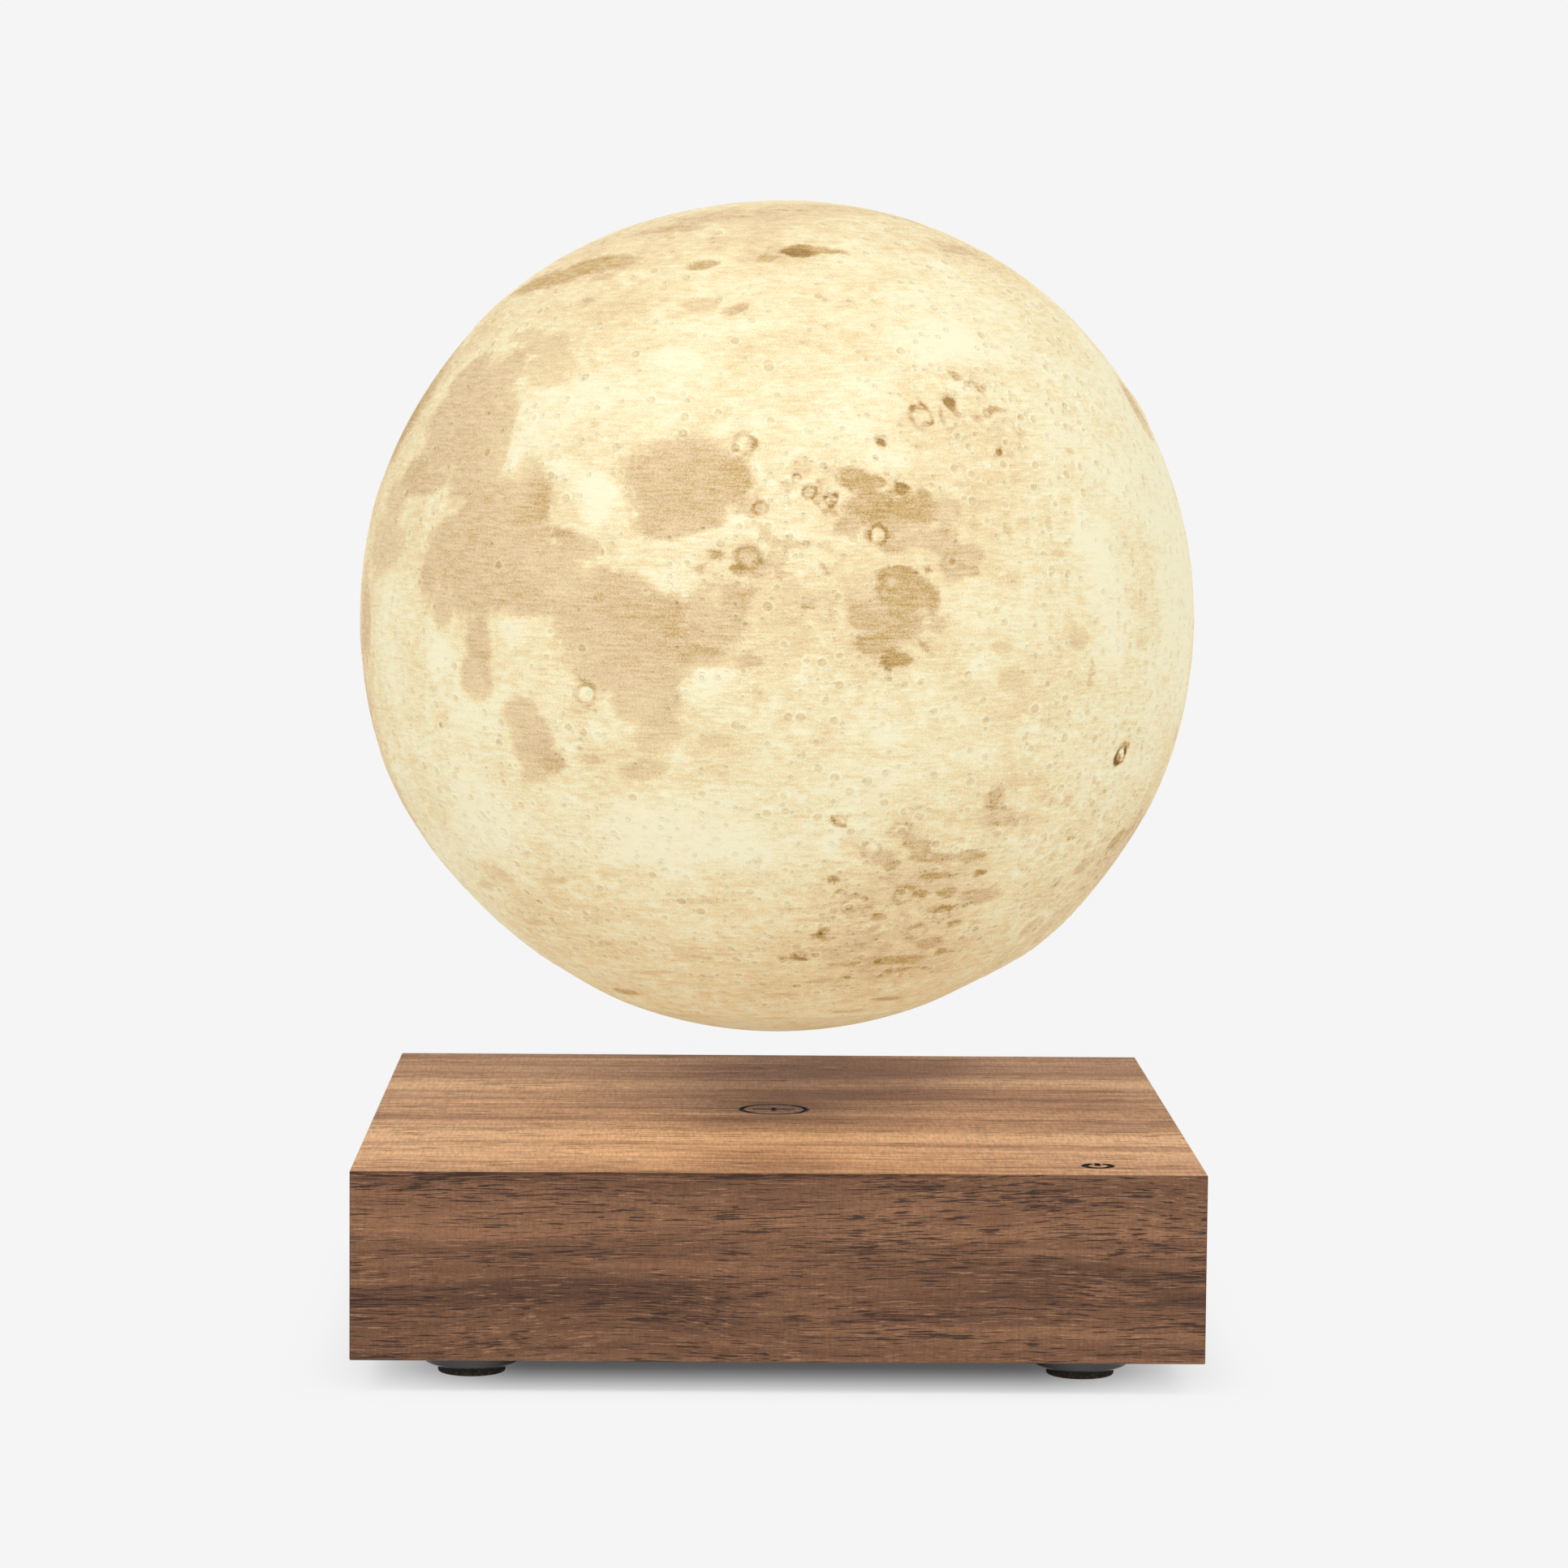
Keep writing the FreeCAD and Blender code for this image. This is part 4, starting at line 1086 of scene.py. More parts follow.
class ShapeTree(Graph):
    """A geometry tree with named inputs, which a modifier runs."""

    def __init__(self, name: str, sizes: dict[str, float | int]) -> None:
        """Makes the tree, with a socket for each size.

        Args:
            name: The tree's name.
            sizes: Its inputs and their values.
        """
        self.sizes = sizes
        super().__init__(bpy.data.node_groups.new(name, "GeometryNodeTree"))
        face = self.tree.interface
        face.new_socket("Geometry", in_out="INPUT", socket_type="NodeSocketGeometry")
        for label, value in sizes.items():
            kind = "NodeSocketInt" if isinstance(value, int) else "NodeSocketFloat"
            face.new_socket(label, in_out="INPUT", socket_type=kind)
        face.new_socket("Geometry", in_out="OUTPUT", socket_type="NodeSocketGeometry")
        self.given = self.add("NodeGroupInput").outputs

    def here(self) -> Socket:
        """The place of each point."""
        return self.add("GeometryNodeInputPosition").outputs[0]

    def stored(self, name: str) -> Socket:
        """A number that is stored on the mesh's points."""
        return self.add("GeometryNodeInputNamedAttribute", {"Name": name}, data_type="FLOAT").outputs[0]

    def keep(self, name: str, value: Socket) -> Socket:
        """Stores a number on the points of the mesh that the tree was given.

        Args:
            name: The attribute's name.
            value: The number.

        Returns:
            The mesh that holds it.
        """
        inputs = {"Geometry": self.given["Geometry"], "Name": name, "Value": value}
        kind = "GeometryNodeStoreNamedAttribute"
        return self.add(kind, inputs, data_type="FLOAT", domain="POINT").outputs[0]

    def close(self, shape: Socket, material: Material) -> None:
        """Ends the tree: real geometry, with its finish.

        Args:
            shape: The finished shape.
            material: Its finish.
        """
        real = self.add("GeometryNodeRealizeInstances", {0: shape}).outputs[0]
        dressed = self.add("GeometryNodeSetMaterial", {"Geometry": real, "Material": material}).outputs[0]
        self.add("NodeGroupOutput", {0: dressed})

    def run(self, mesh: Mesh) -> Mesh:
        """Runs the tree on a mesh.

        Args:
            mesh: What goes into the tree.

        Returns:
            A plain mesh of what comes out.
        """
        holder = put_in_scene(self.tree.name, mesh)
        modifier = holder.modifiers.new(self.tree.name, "NODES")
        modifier.node_group = self.tree
        for item in self.tree.interface.items_tree:
            if item.in_out == "INPUT" and item.name in self.sizes:
                modifier[item.identifier] = self.sizes[item.name]
        depsgraph = bpy.context.evaluated_depsgraph_get()
        result = bpy.data.meshes.new_from_object(holder.evaluated_get(depsgraph), depsgraph=depsgraph)
        holder.modifiers.remove(modifier)
        bpy.data.objects.remove(holder)
        return result


# ---------------------------------------------------------------- the moon's map


class Patch(NamedTuple):
    """An oval area of the moon in degrees: its middle, half its width and height, its strength and turn."""

    north: float
    east: float
    wide: float
    high: float
    strength: float
    turn: float = 0.0


def patches(*rows: tuple[float, ...]) -> tuple[Patch, ...]:
    """Ovals from rows of numbers, in the order that Patch has them."""
    return tuple(Patch(*row) for row in rows)


# Dark areas, which are darker where the strength is greater. Where two of them overlap, they blend.
SEAS = patches(
    # sea of crises, with its two bays
    (17, 58.5, 8.4, 6.2, 0.80), (17, 65.5, 2.8, 3.4, 0.88), (11.4, 57, 5, 2.4, 0.80),
    (12.2, 62, 3.4, 2.0, 0.78),
    # sea of serenity and the lake of dreams
    (28, 17, 10, 9, 0.72), (35, 12, 5, 3, 0.72, 30), (20, 8, 5, 3, 0.80, 10), (35, 24, 3, 4.5, 0.66),
    (26, 26.5, 3.4, 6, 0.66), (39, 30, 5, 2, 0.50), (34, 34, 4.6, 2.6, 0.40), (36, 32, 4, 1.5, 0.45, 15),
    (41, 23, 4, 1.2, 0.50), (19, 13, 6, 2, 0.78),
    # sea of tranquillity, its bays and its link to the sea of fertility
    (9, 28, 11, 8, 0.75), (14.5, 30, 6.5, 4.5, 0.72), (19, 23, 4, 4, 0.72), (10.5, 41, 4.5, 1.0, 0.80, -8),
    (6.5, 39, 7, 3.6, 0.68, -10), (3, 48, 6, 3, 0.66, -20), (0.6, 55.5, 5.5, 1.8, 0.82, -5),
    (4, 27, 5, 4, 0.75), (0.6, 46, 6, 3, 0.62), (3, 34.5, 5, 3.2, 0.76), (2, 21, 2.4, 3, 0.60),
    (18.5, 35, 2.6, 3.4, 0.42), (15, 36.8, 3.0, 4.4, 0.66), (8, 44, 4.0, 1.8, 0.72),
    (3.6, 51.5, 4.0, 1.6, 0.66, -10), (1.6, 37, 4.0, 1.8, 0.72), (6, 17.5, 2.0, 4.5, 0.60),
    (22, 28, 2.6, 4, 0.62), (12, 3, 7, 5, 0.45), (17, 3, 4, 3, 0.45), (1, -6, 4, 5, 0.35),
    # bay of roughness, sea of nectar
    (-3, 28, 2.6, 4, 0.72), (-7.5, 26.8, 3.0, 3.8, 0.68), (-12.8, 34, 3.2, 2.6, 0.66),
    (-16, 35, 4.0, 4.2, 0.72), (-19, 37, 2.6, 2, 0.88, -20), (-21, 34, 2.5, 1.2, 0.50),
    # sea of fertility
    (-2, 51, 10, 5, 0.74), (-6, 53, 8, 5, 0.76), (-7.6, 47, 4.4, 2.4, 0.66), (-11, 53, 5, 4, 0.62),
    (-15.5, 54, 3.2, 3.4, 0.50), (-6.2, 61, 4.0, 1.5, 0.86), (-6.8, 66, 3, 1.1, 0.60),
    (-20.5, 52, 4, 1.4, 0.46, 10), (-2, 63, 4, 3, 0.50), (-19, 44, 1.6, 0.8, 0.50), (-17, 62, 2.5, 1, 0.40),
    (1.5, 63, 4, 2, 0.46),
    # sea of cold and the dark spots of the north
    (55.5, 27, 8, 2.4, 0.76), (53, 11, 9, 2.6, 0.66, 5), (52, 33, 2.4, 1, 0.50), (65, 38, 6, 1.4, 0.45),
    (53, 57, 2.4, 1.3, 0.95, 15), (43, 65, 2.2, 1.0, 0.80, 25), (44.2, 58.5, 2.8, 1.5, 0.50, -10),
    (55.8, 79, 2.9, 1.8, 1.10), (55.6, 86, 2.8, 0.9, 0.90, -8), (54, 71, 1.6, 0.9, 0.45),
    (57, 128, 5, 1.6, 0.45), (47, 34, 1.6, 0.6, 0.5),
    # serpent, waves and foam
    (22, 68, 1.6, 0.7, 0.55, -35), (13.2, 68, 1.6, 1.8, 0.55), (7, 67, 2.2, 1.3, 0.66),
    (9, 70, 0.8, 2.2, 0.60, 35), (6, 71, 1.6, 1.2, 0.50), (5, 66, 1.2, 0.9, 0.85), (7, 63, 1.1, 0.8, 0.85),
    (5, 61, 0.9, 0.7, 0.70), (1, 65, 2.8, 1.6, 0.62), (8, 73, 2.0, 0.5, 0.60, -10), (4, 72, 1.0, 0.6, 0.70),
    (5, 77, 1.0, 0.5, 0.60, -30), (2, 68, 1.0, 0.8, 0.60), (-1, 62, 2.5, 1.0, 0.55),
    (0, 75, 1.2, 0.5, 0.60),
    # border sea
    (12.5, 84, 4.4, 2.2, 0.95), (12, 90, 3.6, 2.0, 0.82), (16.2, 82, 2.8, 1.8, 1.0, -20),
    (5, 69, 2.2, 1.3, 0.56), (16, 85, 1.0, 0.8, 0.95, -40), (15, 88, 1.3, 1.0, 1.15, -20),
    (14, 91, 1.2, 1.0, 0.90), (12, 94, 2.6, 1.8, 0.40), (10, 80.5, 2.0, 1.2, 0.60, 15),
    (15, 75, 1.0, 0.8, 0.75, -45), (5, 94.5, 2.2, 2.6, 0.66), (8, 91, 3.5, 1.4, 0.40),
    (7.5, 86, 2.2, 1.2, 0.66), (14, 77, 1.4, 0.4, 0.75), (14, 79, 0.6, 0.9, 0.85, 10),
    (13, 77, 0.7, 0.5, 0.90, -40), (12, 78, 1.2, 0.5, 0.95, -8), (16, 77, 0.8, 0.4, 0.70, -10),
    (9, 83, 0.7, 1.1, 0.75), (8, 85, 1.2, 0.5, 0.75), (9, 94, 1.4, 0.8, 0.70, -20), (6, 97, 2.2, 1.6, 0.55),
    (4, 97, 1.2, 0.9, 0.75, -20), (10, 86, 3.0, 1.2, 0.50),
    # the eastern sea
    (1.8, 87.3, 3.6, 2.7, 1.02), (4, 86.6, 3.0, 1.0, 1.05), (4, 90, 1.4, 0.7, 0.95),
    (0.4, 90.6, 1.8, 2.2, 0.95), (-0.8, 88, 3.4, 1.6, 0.90), (-2.4, 86, 3.8, 2.6, 0.66),
    (-5, 83.5, 3.0, 1.6, 0.66), (-1.5, 81.5, 2.0, 1.8, 0.50), (-7.3, 85.8, 2.8, 1.2, 1.00),
    (-5.6, 90, 1.2, 0.6, 0.70, -30), (-3, 92, 1.6, 0.8, 0.50),
    # dark spots of the north-east
    (27, 97.8, 1.1, 1.1, 1.20), (26, 92, 0.9, 0.7, 1.00), (27, 93, 1.6, 0.4, 0.75, -50),
    (25, 96, 0.5, 1.3, 0.85, 10), (24, 94, 1.4, 0.4, 0.80, 5), (31, 100, 1.3, 0.7, 1.00, -35),
    (30, 103, 1.2, 0.5, 0.80, -20), (29, 104, 0.8, 0.7, 0.70), (26, 105, 1.0, 0.8, 1.00, 30),
    (25, 99, 1.1, 0.6, 1.00, -15), (23, 97, 1.0, 0.4, 0.65), (23, 108, 1.4, 0.4, 0.70, -5),
    (20, 104, 0.9, 0.5, 1.00), (22, 86, 0.8, 0.3, 0.80), (21, 86, 0.9, 0.5, 1.00),
    (19, 85, 0.7, 0.4, 0.95, -20), (17, 87, 1.3, 0.4, 0.80), (20, 117, 1.1, 0.5, 0.75, -20),
    (10, 110, 0.8, 1.1, 0.55), (32, 93, 1.6, 0.4, 0.45), (27, 149, 4, 5, 1.0), (6, 111, 1.4, 0.8, 0.42),
    (9, 103, 1.0, 0.6, 0.40),
    # the dark ring crater of the far side and its neighbours
    (-21.6, 127.2, 0.9, 1.1, 1.3, 10), (-20, 129, 0.6, 1.1, 1.2, -15), (-26, 127, 0.8, 0.6, 0.70),
    (-26.5, 103, 1.1, 1.5, 0.66, -15), (-29, 105, 3.4, 1.2, 0.34, 20), (-27, 118, 1.0, 0.9, 0.50),
    (-33, 123, 1.1, 0.6, 0.95), (-24, 110, 2.4, 0.8, 0.40), (-9, 117, 0.7, 1.6, 0.65, 10),
    (-5, 114, 2.2, 1.6, 0.45), (-11, 117, 1.0, 0.7, 0.60), (-6, 101, 2.0, 0.9, 0.42),
    (-10, 103, 2.4, 1.6, 0.36), (-24, 106, 3.0, 1.2, 0.36),
    # the southern sea, which is many dark craters
    (-29, 79, 1.5, 0.5, 0.95, -35), (-31, 89, 1.8, 0.6, 0.50), (-33, 92, 2.4, 1.2, 0.66, -20),
    (-34.5, 85.5, 2.6, 1.4, 0.62), (-36, 88, 1.6, 0.9, 0.70, 20), (-38, 79, 1.1, 0.6, 0.66),
    (-40, 80, 1.2, 0.4, 0.80), (-35, 95, 4.0, 0.9, 0.66), (-35, 102, 2.8, 1.1, 0.80),
    (-38, 105, 1.1, 0.7, 0.90, 20), (-38, 97, 3.0, 0.7, 0.60), (-41, 95, 1.4, 0.8, 0.70),
    (-41, 100, 1.8, 1.0, 0.60), (-43, 84, 2.4, 0.8, 0.55, 20), (-45, 88, 1.6, 0.9, 0.60),
    (-48, 77, 1.3, 0.7, 1.00), (-49, 79, 1.4, 0.5, 0.80), (-53, 73, 1.6, 0.7, 0.80, -10),
    (-53, 70, 1.1, 0.7, 0.75), (-50, 97, 1.4, 0.9, 0.60), (-51, 102, 2.2, 1.4, 0.70),
    (-47, 105, 1.3, 0.8, 0.75), (-44, 100, 3.2, 0.8, 0.50), (-53, 108, 2.6, 0.6, 0.70, -10),
    (-54.5, 96, 5.0, 1.2, 0.62), (-42, 108, 4.0, 1.4, 0.50), (-55, 84, 2.6, 0.6, 0.60),
    (-57, 100, 3.0, 0.7, 0.60), (-41, 127, 1.1, 0.8, 0.75), (-38, 133, 2.2, 1.6, 0.55, 30),
    (-34, 141, 2.4, 1.6, 0.60, 30), (-30, 108, 3.0, 0.7, 0.45), (-45, 77, 3.6, 0.6, 0.42),
    (-59, 80, 3.0, 0.8, 0.55), (-66, 105, 3.0, 0.9, 0.80), (-70, 95, 3.0, 0.8, 0.55),
    (-63, 70, 4.0, 0.7, 0.45),
    # spots of the south-west
    (-20, 18, 0.8, 0.7, 0.60), (-9, 12, 0.9, 0.5, 0.50), (-36, 15, 3.4, 1.4, 0.50, -15),
    (-38, 8, 2.6, 1.0, 0.45), (-37, 29, 2.6, 0.8, 0.42), (-49, 31, 1.5, 0.6, 0.62),
    (-52, 31, 0.8, 0.4, 0.62), (-62, 15, 3.0, 1.2, 0.95), (-41, 55, 5.0, 0.6, 0.40),
    (-52, 50, 5.0, 0.7, 0.42), (-56, 36, 4.0, 0.7, 0.45), (-45, 15, 3.0, 0.8, 0.40),
    # a few seas of the half that faces away
    (33, -18, 15, 12, 0.75), (20, -45, 18, 20, 0.72), (-10, -25, 14, 9, 0.66), (-24, -39, 6, 6, 0.85),
    (-20, -95, 5, 5, 0.85), (-35, 163, 6, 5, 0.75), (5, -35, 16, 10, 0.66), (-36, -152, 6, 5, 0.60),
    (-6, 172, 2, 2, 0.66),
)

# Pale areas, round the young craters and between the seas. The broad ovals near east 140 to 150, along the
# right limb in the front view, are painted light: the brighter limb of that view.
RAYS_AND_LIMB_LIGHT = patches(
    (-9, 61, 2.4, 2.0, 1.0), (-7, 63, 3.0, 1.0, 0.6), (17, 45, 4.5, 2.2, 0.80, -25),
    (13, 47, 1.2, 3.0, 0.85), (16, 47, 2.0, 1.2, 0.9), (20, 41, 1.5, 0.9, 0.8),
    (-27, 50, 4.5, 1.8, 0.85, -25), (-31, 59, 8.0, 3.0, 0.55), (-36, 53, 3.0, 1.5, 0.55),
    (-19, 56, 1.8, 0.9, 0.8), (-29, 44, 3.0, 2.0, 0.45), (-33, 66, 4.0, 1.0, 0.55),
    (0.5, 33, 1.8, 1.0, 0.85), (-1.5, 34, 2.5, 1.4, 0.7), (15.6, 15.4, 0.8, 0.8, 1.1),
    (14, 8, 1.3, 1.2, 0.95), (15.6, 22.6, 0.7, 0.7, 1.0), (21, 32, 2.6, 2.4, 0.5), (13, 45, 1.5, 2.4, 0.4),
    (6.6, 45, 3.0, 1.5, 0.5), (4, 57, 4.0, 1.6, 0.6), (21.5, 65, 4.0, 1.6, 0.6),
    (4, 118, 3.0, 7.0, 1.1, -8), (-14, 91, 8.0, 5.0, 0.5), (-9, 98, 3.0, 3.0, 0.5), (28, 122, 10, 14, 0.45),
    (13, 112, 2.2, 4.0, 0.6), (-5, 20, 3.0, 3.0, 0.6), (-12, 28, 2.6, 2.4, 0.7), (-10, 8, 9.0, 9.0, 0.45),
    (-44, 76, 7, 2.4, 0.4), (-24, 17, 8.0, 9.0, 0.55), (-32, 48, 12, 5.0, 0.50), (-46, 32, 13, 3.0, 0.3),
    (-45, 115, 6.0, 3.6, 0.6), (-50, 98, 2.5, 1.5, 0.5), (-34, 103, 4.0, 1.6, 0.4),
    (-32, 82, 4.0, 1.6, 0.4), (-15, 46, 2.4, 1.6, 0.5), (-17, 56, 1.6, 1.0, 0.4), (3, 17, 0.6, 0.7, 1.0),
    (11, 16, 0.8, 3.0, 0.55), (6, 46, 1.2, 1.0, 0.55), (2, 63, 0.9, 0.8, 1.0), (12, 65, 1.8, 1.1, 0.95),
    (24, 64, 1.5, 0.8, 0.95), (20, 66, 0.8, 0.5, 0.7), (18, 69, 1.0, 1.2, 0.75), (36, 99, 9.0, 3.5, 0.55),
    (37, 103, 4.0, 1.5, 0.6, -40), (35, 56, 5.0, 2.4, 0.65), (40, 64, 9.0, 1.4, 0.55),
    (30, 44, 5.0, 3.0, 0.5), (26, 37, 4.0, 2.0, 0.4), (9, 115, 1.6, 6.0, 0.60, -18),
    # The ovals at east 141 and 149 on this line and at east 142 on the next are painted light along the
    # right limb.
    (-3, 122, 3.0, 7.0, 0.95), (33, 141, 3.0, 9.0, 0.7, -20), (15, 149, 4.0, 12, 0.7),
    (8, 142, 12.0, 26.0, 0.95), (-27, 19, 6.0, 10, 0.35), (-28, 62, 16.0, 8.0, 0.30),
    (-8, 97, 0.9, 0.7, 0.8), (-6, 99, 1.0, 0.7, 0.8, -40), (-17, 107, 1.6, 0.5, 1.0, 30),
    (-20, 98, 3.0, 0.8, 0.6), (-17, 85, 3.6, 1.2, 0.65), (-23, 87, 2.4, 0.7, 0.7),
    (-16, 74, 0.9, 0.8, 0.85), (-9, 74, 1.0, 0.8, 0.9), (-9, 89, 0.9, 0.6, 0.7), (-32, 78, 1.5, 0.8, 0.8),
    (-27, 79, 2.2, 0.8, 0.6), (-23, 128, 2.2, 0.5, 0.8, 30), (-20, 128, 0.5, 0.6, 1.6),
    (-13, 24, 3.0, 4.0, 0.55), (-11, 17, 1.4, 0.8, 0.75), (-17, 9, 0.9, 1.2, 0.8), (-5, 19, 2.0, 4.0, 0.5),
    (-7, 37, 1.6, 1.1, 0.45), (-17, 41, 1.0, 1.6, 0.65), (-12, 48, 1.2, 0.6, 0.8),
    (-15, 51, 1.6, 0.8, 0.65), (3, 86, 0.8, 0.6, 0.9), (-1, 90, 0.5, 0.6, 1.1), (-5, 86, 1.0, 0.9, 0.6),
    (8, 84, 0.5, 0.4, 0.9), (25, 94, 0.7, 0.5, 0.8), (19, 87, 2.4, 1.6, 0.6), (30, 86, 6.0, 2.0, 0.5),
    (46, 100, 6.0, 1.8, 0.4), (-36, 100, 1.0, 0.5, 0.7), (-32, 109, 0.8, 0.8, 0.9),
    (-33, 92, 0.6, 0.4, 0.9), (-31, 105, 0.9, 0.7, 0.5), (-28, 108, 1.2, 0.8, 0.6),
    (-52, 82, 1.5, 0.6, 0.5), (7, 65, 0.9, 0.5, 0.8), (-13, 86, 1.0, 0.5, 0.6), (-12, 84, 0.6, 0.5, 0.8),
    (4, 5, 3.0, 5.0, 0.4), (-43, -11, 9.0, 9.0, 0.9), (10, -20, 4.0, 4.0, 0.9), (8, -38, 2.0, 2.0, 0.9),
    (-34, 55, 15.0, 6.0, 0.25), (-24, 90, 9.0, 4.0, 0.25), (18, 95, 3.0, 2.0, 0.30),
    (29, 98, 5.0, 2.6, 0.30), (-8, 117, 3.0, 3.0, 0.30), (-12, 40, 2.4, 2.0, 0.30),
    (-27, 24, 5.0, 6.0, 0.45), (-35, 84, 3.0, 2.0, 0.35),
)

# Areas a little darker than the land round them. Those along the moon's outline in the front view, at the
# left limb, the top and the lower right, are painted shade: the darker limb of that view.
DARK_AREAS_AND_LIMB_SHADE = patches(
    (21, 67, 6, 4, 0.36), (53.5, 73, 6, 3, 0.42), (59.5, 62, 7, 2, 0.40), (45, 27, 9, 3, 0.42),
    (-38, 150, 6, 11, 0.60), (-22, -12, 4, 14, 0.40), (6, 16, 3, 6, 0.25), (15, 41, 3.4, 4, 0.42),
    (72, 20, 22, 5, 0.36), (72, 112, 24, 5, 0.45), (53, 130, 9, 4, 0.40), (54, 74, 5, 3, 0.35),
    (-30.5, 109, 5, 2, 0.40), (-57, 103, 10, 3, 0.50), (-49, 89, 3, 2, 0.36), (-42, 109, 6, 2, 0.40),
    (-3, 108, 6, 3, 0.32), (-14, 43, 3, 4, 0.30), (-35, 152, 8, 6, 0.50), (-45, -5, 8, 5, 0.40),
    (25, -5, 5, 8, 0.36), (42, 3, 5, 4, 0.40), (-22, -14, 5, 14, 0.30), (-18, 49, 4, 2, 0.40),
    (-11, 58, 3, 3, 0.30), (-3, 74, 10, 6, 0.30), (1, 80, 4, 3, 0.30), (12.5, 63.5, 3, 1.6, 0.40),
    (57, 66, 6, 2.4, 0.40), (55, 76, 8, 2.0, 0.35), (52, 15, 12, 3, 0.35), (45, 4, 7, 5, 0.35),
    (38, 28, 8, 3, 0.25), (16, 37, 2.6, 4, 0.40), (1, -7, 5, 10, 0.45), (8, 3, 6, 5, 0.25),
    (13.5, 67.5, 2, 2.4, 0.35), (4, 66, 4, 3, 0.35), (2, 73, 2.4, 1.8, 0.55), (-1, 72, 10, 6, 0.30),
    (-14, 70, 6, 8, 0.25), (-21, 52, 3.4, 1.6, 0.35), (-12, 46, 4, 1.5, 0.30), (8, 89, 9, 5, 0.36),
    (10, 79, 3, 2, 0.30), (-29, 105, 6, 3, 0.42), (-38.5, 96, 11, 3, 0.40), (-37, 70, 12, 3, 0.36),
    (-43, 58, 14, 2.5, 0.30), (-47, 90, 10, 3, 0.40), (-52, 76, 7, 2, 0.36), (-45, 140, 7, 14, 0.55),
    (-34, 150, 5, 8, 0.50), (-26, -12, 5, 14, 0.40), (70, 60, 26, 4, 0.35), (57, 118, 9, 3, 0.40),
    (-28, 74, 3, 2, 0.25), (24, 103, 7, 6, 0.22), (14, 98, 7, 10, 0.45), (-42, 92, 18, 10, 0.62),
    (-56, 82, 18, 8, 0.42), (-44, 25, 22, 9, 0.30), (60, 20, 14, 7, 0.50), (74, 90, 20, 7, 0.62),
    (0, -8, 6, 30, 0.30), (-10, 103, 12, 8, 0.20), (47, 40, 10, 5, 0.16), (-38, 130, 12, 12, 0.26, 30),
    (5, 68, 9, 6, 0.22), (-8, 76, 14, 8, 0.22), (-20, 10, 6, 12, 0.20), (58, 125, 14, 5, 0.26),
    (-6, 84, 8, 5, 0.30), (30, -20, 30, 30, 0.25), (-56, 180, 30, 20, 0.40), (38, 75, 14, 8, 0.12),
    (13, 87, 7, 5, 0.14), (50, 72, 9, 3, 0.22), (52, 20, 12, 4, 0.20), (19, 68, 4, 4, 0.20),
    (12, 45, 2, 3, 0.25), (6, 46, 4, 1.4, 0.25), (-63, 100, 9, 3, 0.30), (3, 74, 4, 5, 0.20),
    (-52, 80, 8, 3, 0.20), (-3, 60, 4, 3, 0.32), (43, 40, 6, 4, 0.25),
)


class Landmark(NamedTuple):
    """A crater known by its place: its radius in degrees, how dark its floor is, and how dark its rim."""

    north: float
    east: float
    radius: float
    floor: float
    rim: float


LANDMARKS = tuple(Landmark(*row) for row in (
    (27.2, 97.8, 1.10, 0.20, 0.05), (24.8, 92.6, 1.65, 0.00, 0.34), (9.0, 84.3, 1.25, -0.22, 0.34),
    (-20.9, 127.8, 1.35, -0.05, 0.75), (14.8, 88.1, 0.95, 0.05, 0.05), (14.7, 75.6, 0.95, 0.05, 0.36),
    (13.6, 78.4, 0.90, 0.05, 0.36), (16.6, 74.0, 0.70, 0.25, 0.30), (6.6, 67.4, 1.60, -0.05, 0.18),
    (12.8, 69.2, 1.00, 0.10, 0.30), (21.6, 67.2, 1.50, 0.00, 0.32), (-37.8, 78.6, 0.80, 0.20, 0.15),
    (-47.3, 77.8, 0.90, 0.40, 0.15), (-52.4, 73.2, 1.00, 0.15, 0.15), (-33.2, 84.3, 1.30, 0.05, 0.15),
    (-42.6, 83.4, 2.00, -0.05, 0.20), (-48.2, 97.3, 1.50, 0.00, 0.18), (-30.5, 88.5, 1.40, 0.00, 0.14),
    (-45.0, 101.0, 1.40, 0.05, 0.16), (-41.0, 91.5, 1.50, 0.00, 0.22), (-28.6, 79.0, 1.00, 0.10, 0.30),
    (-10.3, 44.8, 1.50, -0.20, 0.28), (-26.4, 103.0, 1.50, 0.05, 0.15), (25.3, 103.6, 0.85, 0.45, 0.10),
    (21.2, 86.0, 0.75, 0.40, 0.10), (19.7, 103.8, 0.60, 0.50, 0.10),
))

# Areas where small craters crowd.
PITTED = patches(
    (-42, 95, 20, 14, 1.0), (-38, 128, 14, 16, 0.8, 20), (4, 68, 9, 7, 0.9), (22, 98, 12, 9, 0.5),
    (16, 74, 8, 3, 0.8), (-8, 76, 8, 6, 0.4), (-60, 70, 40, 10, 0.7), (20, 73, 5, 5, 0.7),
    (-22, 20, 10, 14, 0.5), (-22, 115, 12, 10, 0.3), (-13, 45, 5, 4, 0.6), (30, 130, 10, 10, 0.3),
    (10, -170, 60, 50, 0.5), (-55, 0, 50, 18, 0.6), (60, -60, 60, 18, 0.4),
)


class Swell(NamedTuple):
    """A broad hill or hollow of the print: its bearing on the front outline, its spread and its height."""

    bearing_deg: float
    spread_deg: float
    height: float


# The printed ball isn't quite round: these are its swells, seen on its outline from the front.
SWELLS = (
    Swell(200, 14, mm(1.05)), Swell(225, 9, mm(-0.45)), Swell(250, 12, mm(-0.75)), Swell(289, 9, mm(-1.05)),
    Swell(310, 9, mm(1.25)), Swell(335, 13, mm(0.60)), Swell(162, 12, mm(0.40)), Swell(130, 12, mm(0.40)),
    Swell(97, 16, mm(-0.65)), Swell(52, 8, mm(0.25)), Swell(30, 3, mm(0.60)),
)


@dataclass
class CraterSize:
    """One size of crater, and how it lies."""

    radius: float
    depth: float
    lip: float
    per_square_metre: float
    seed: int


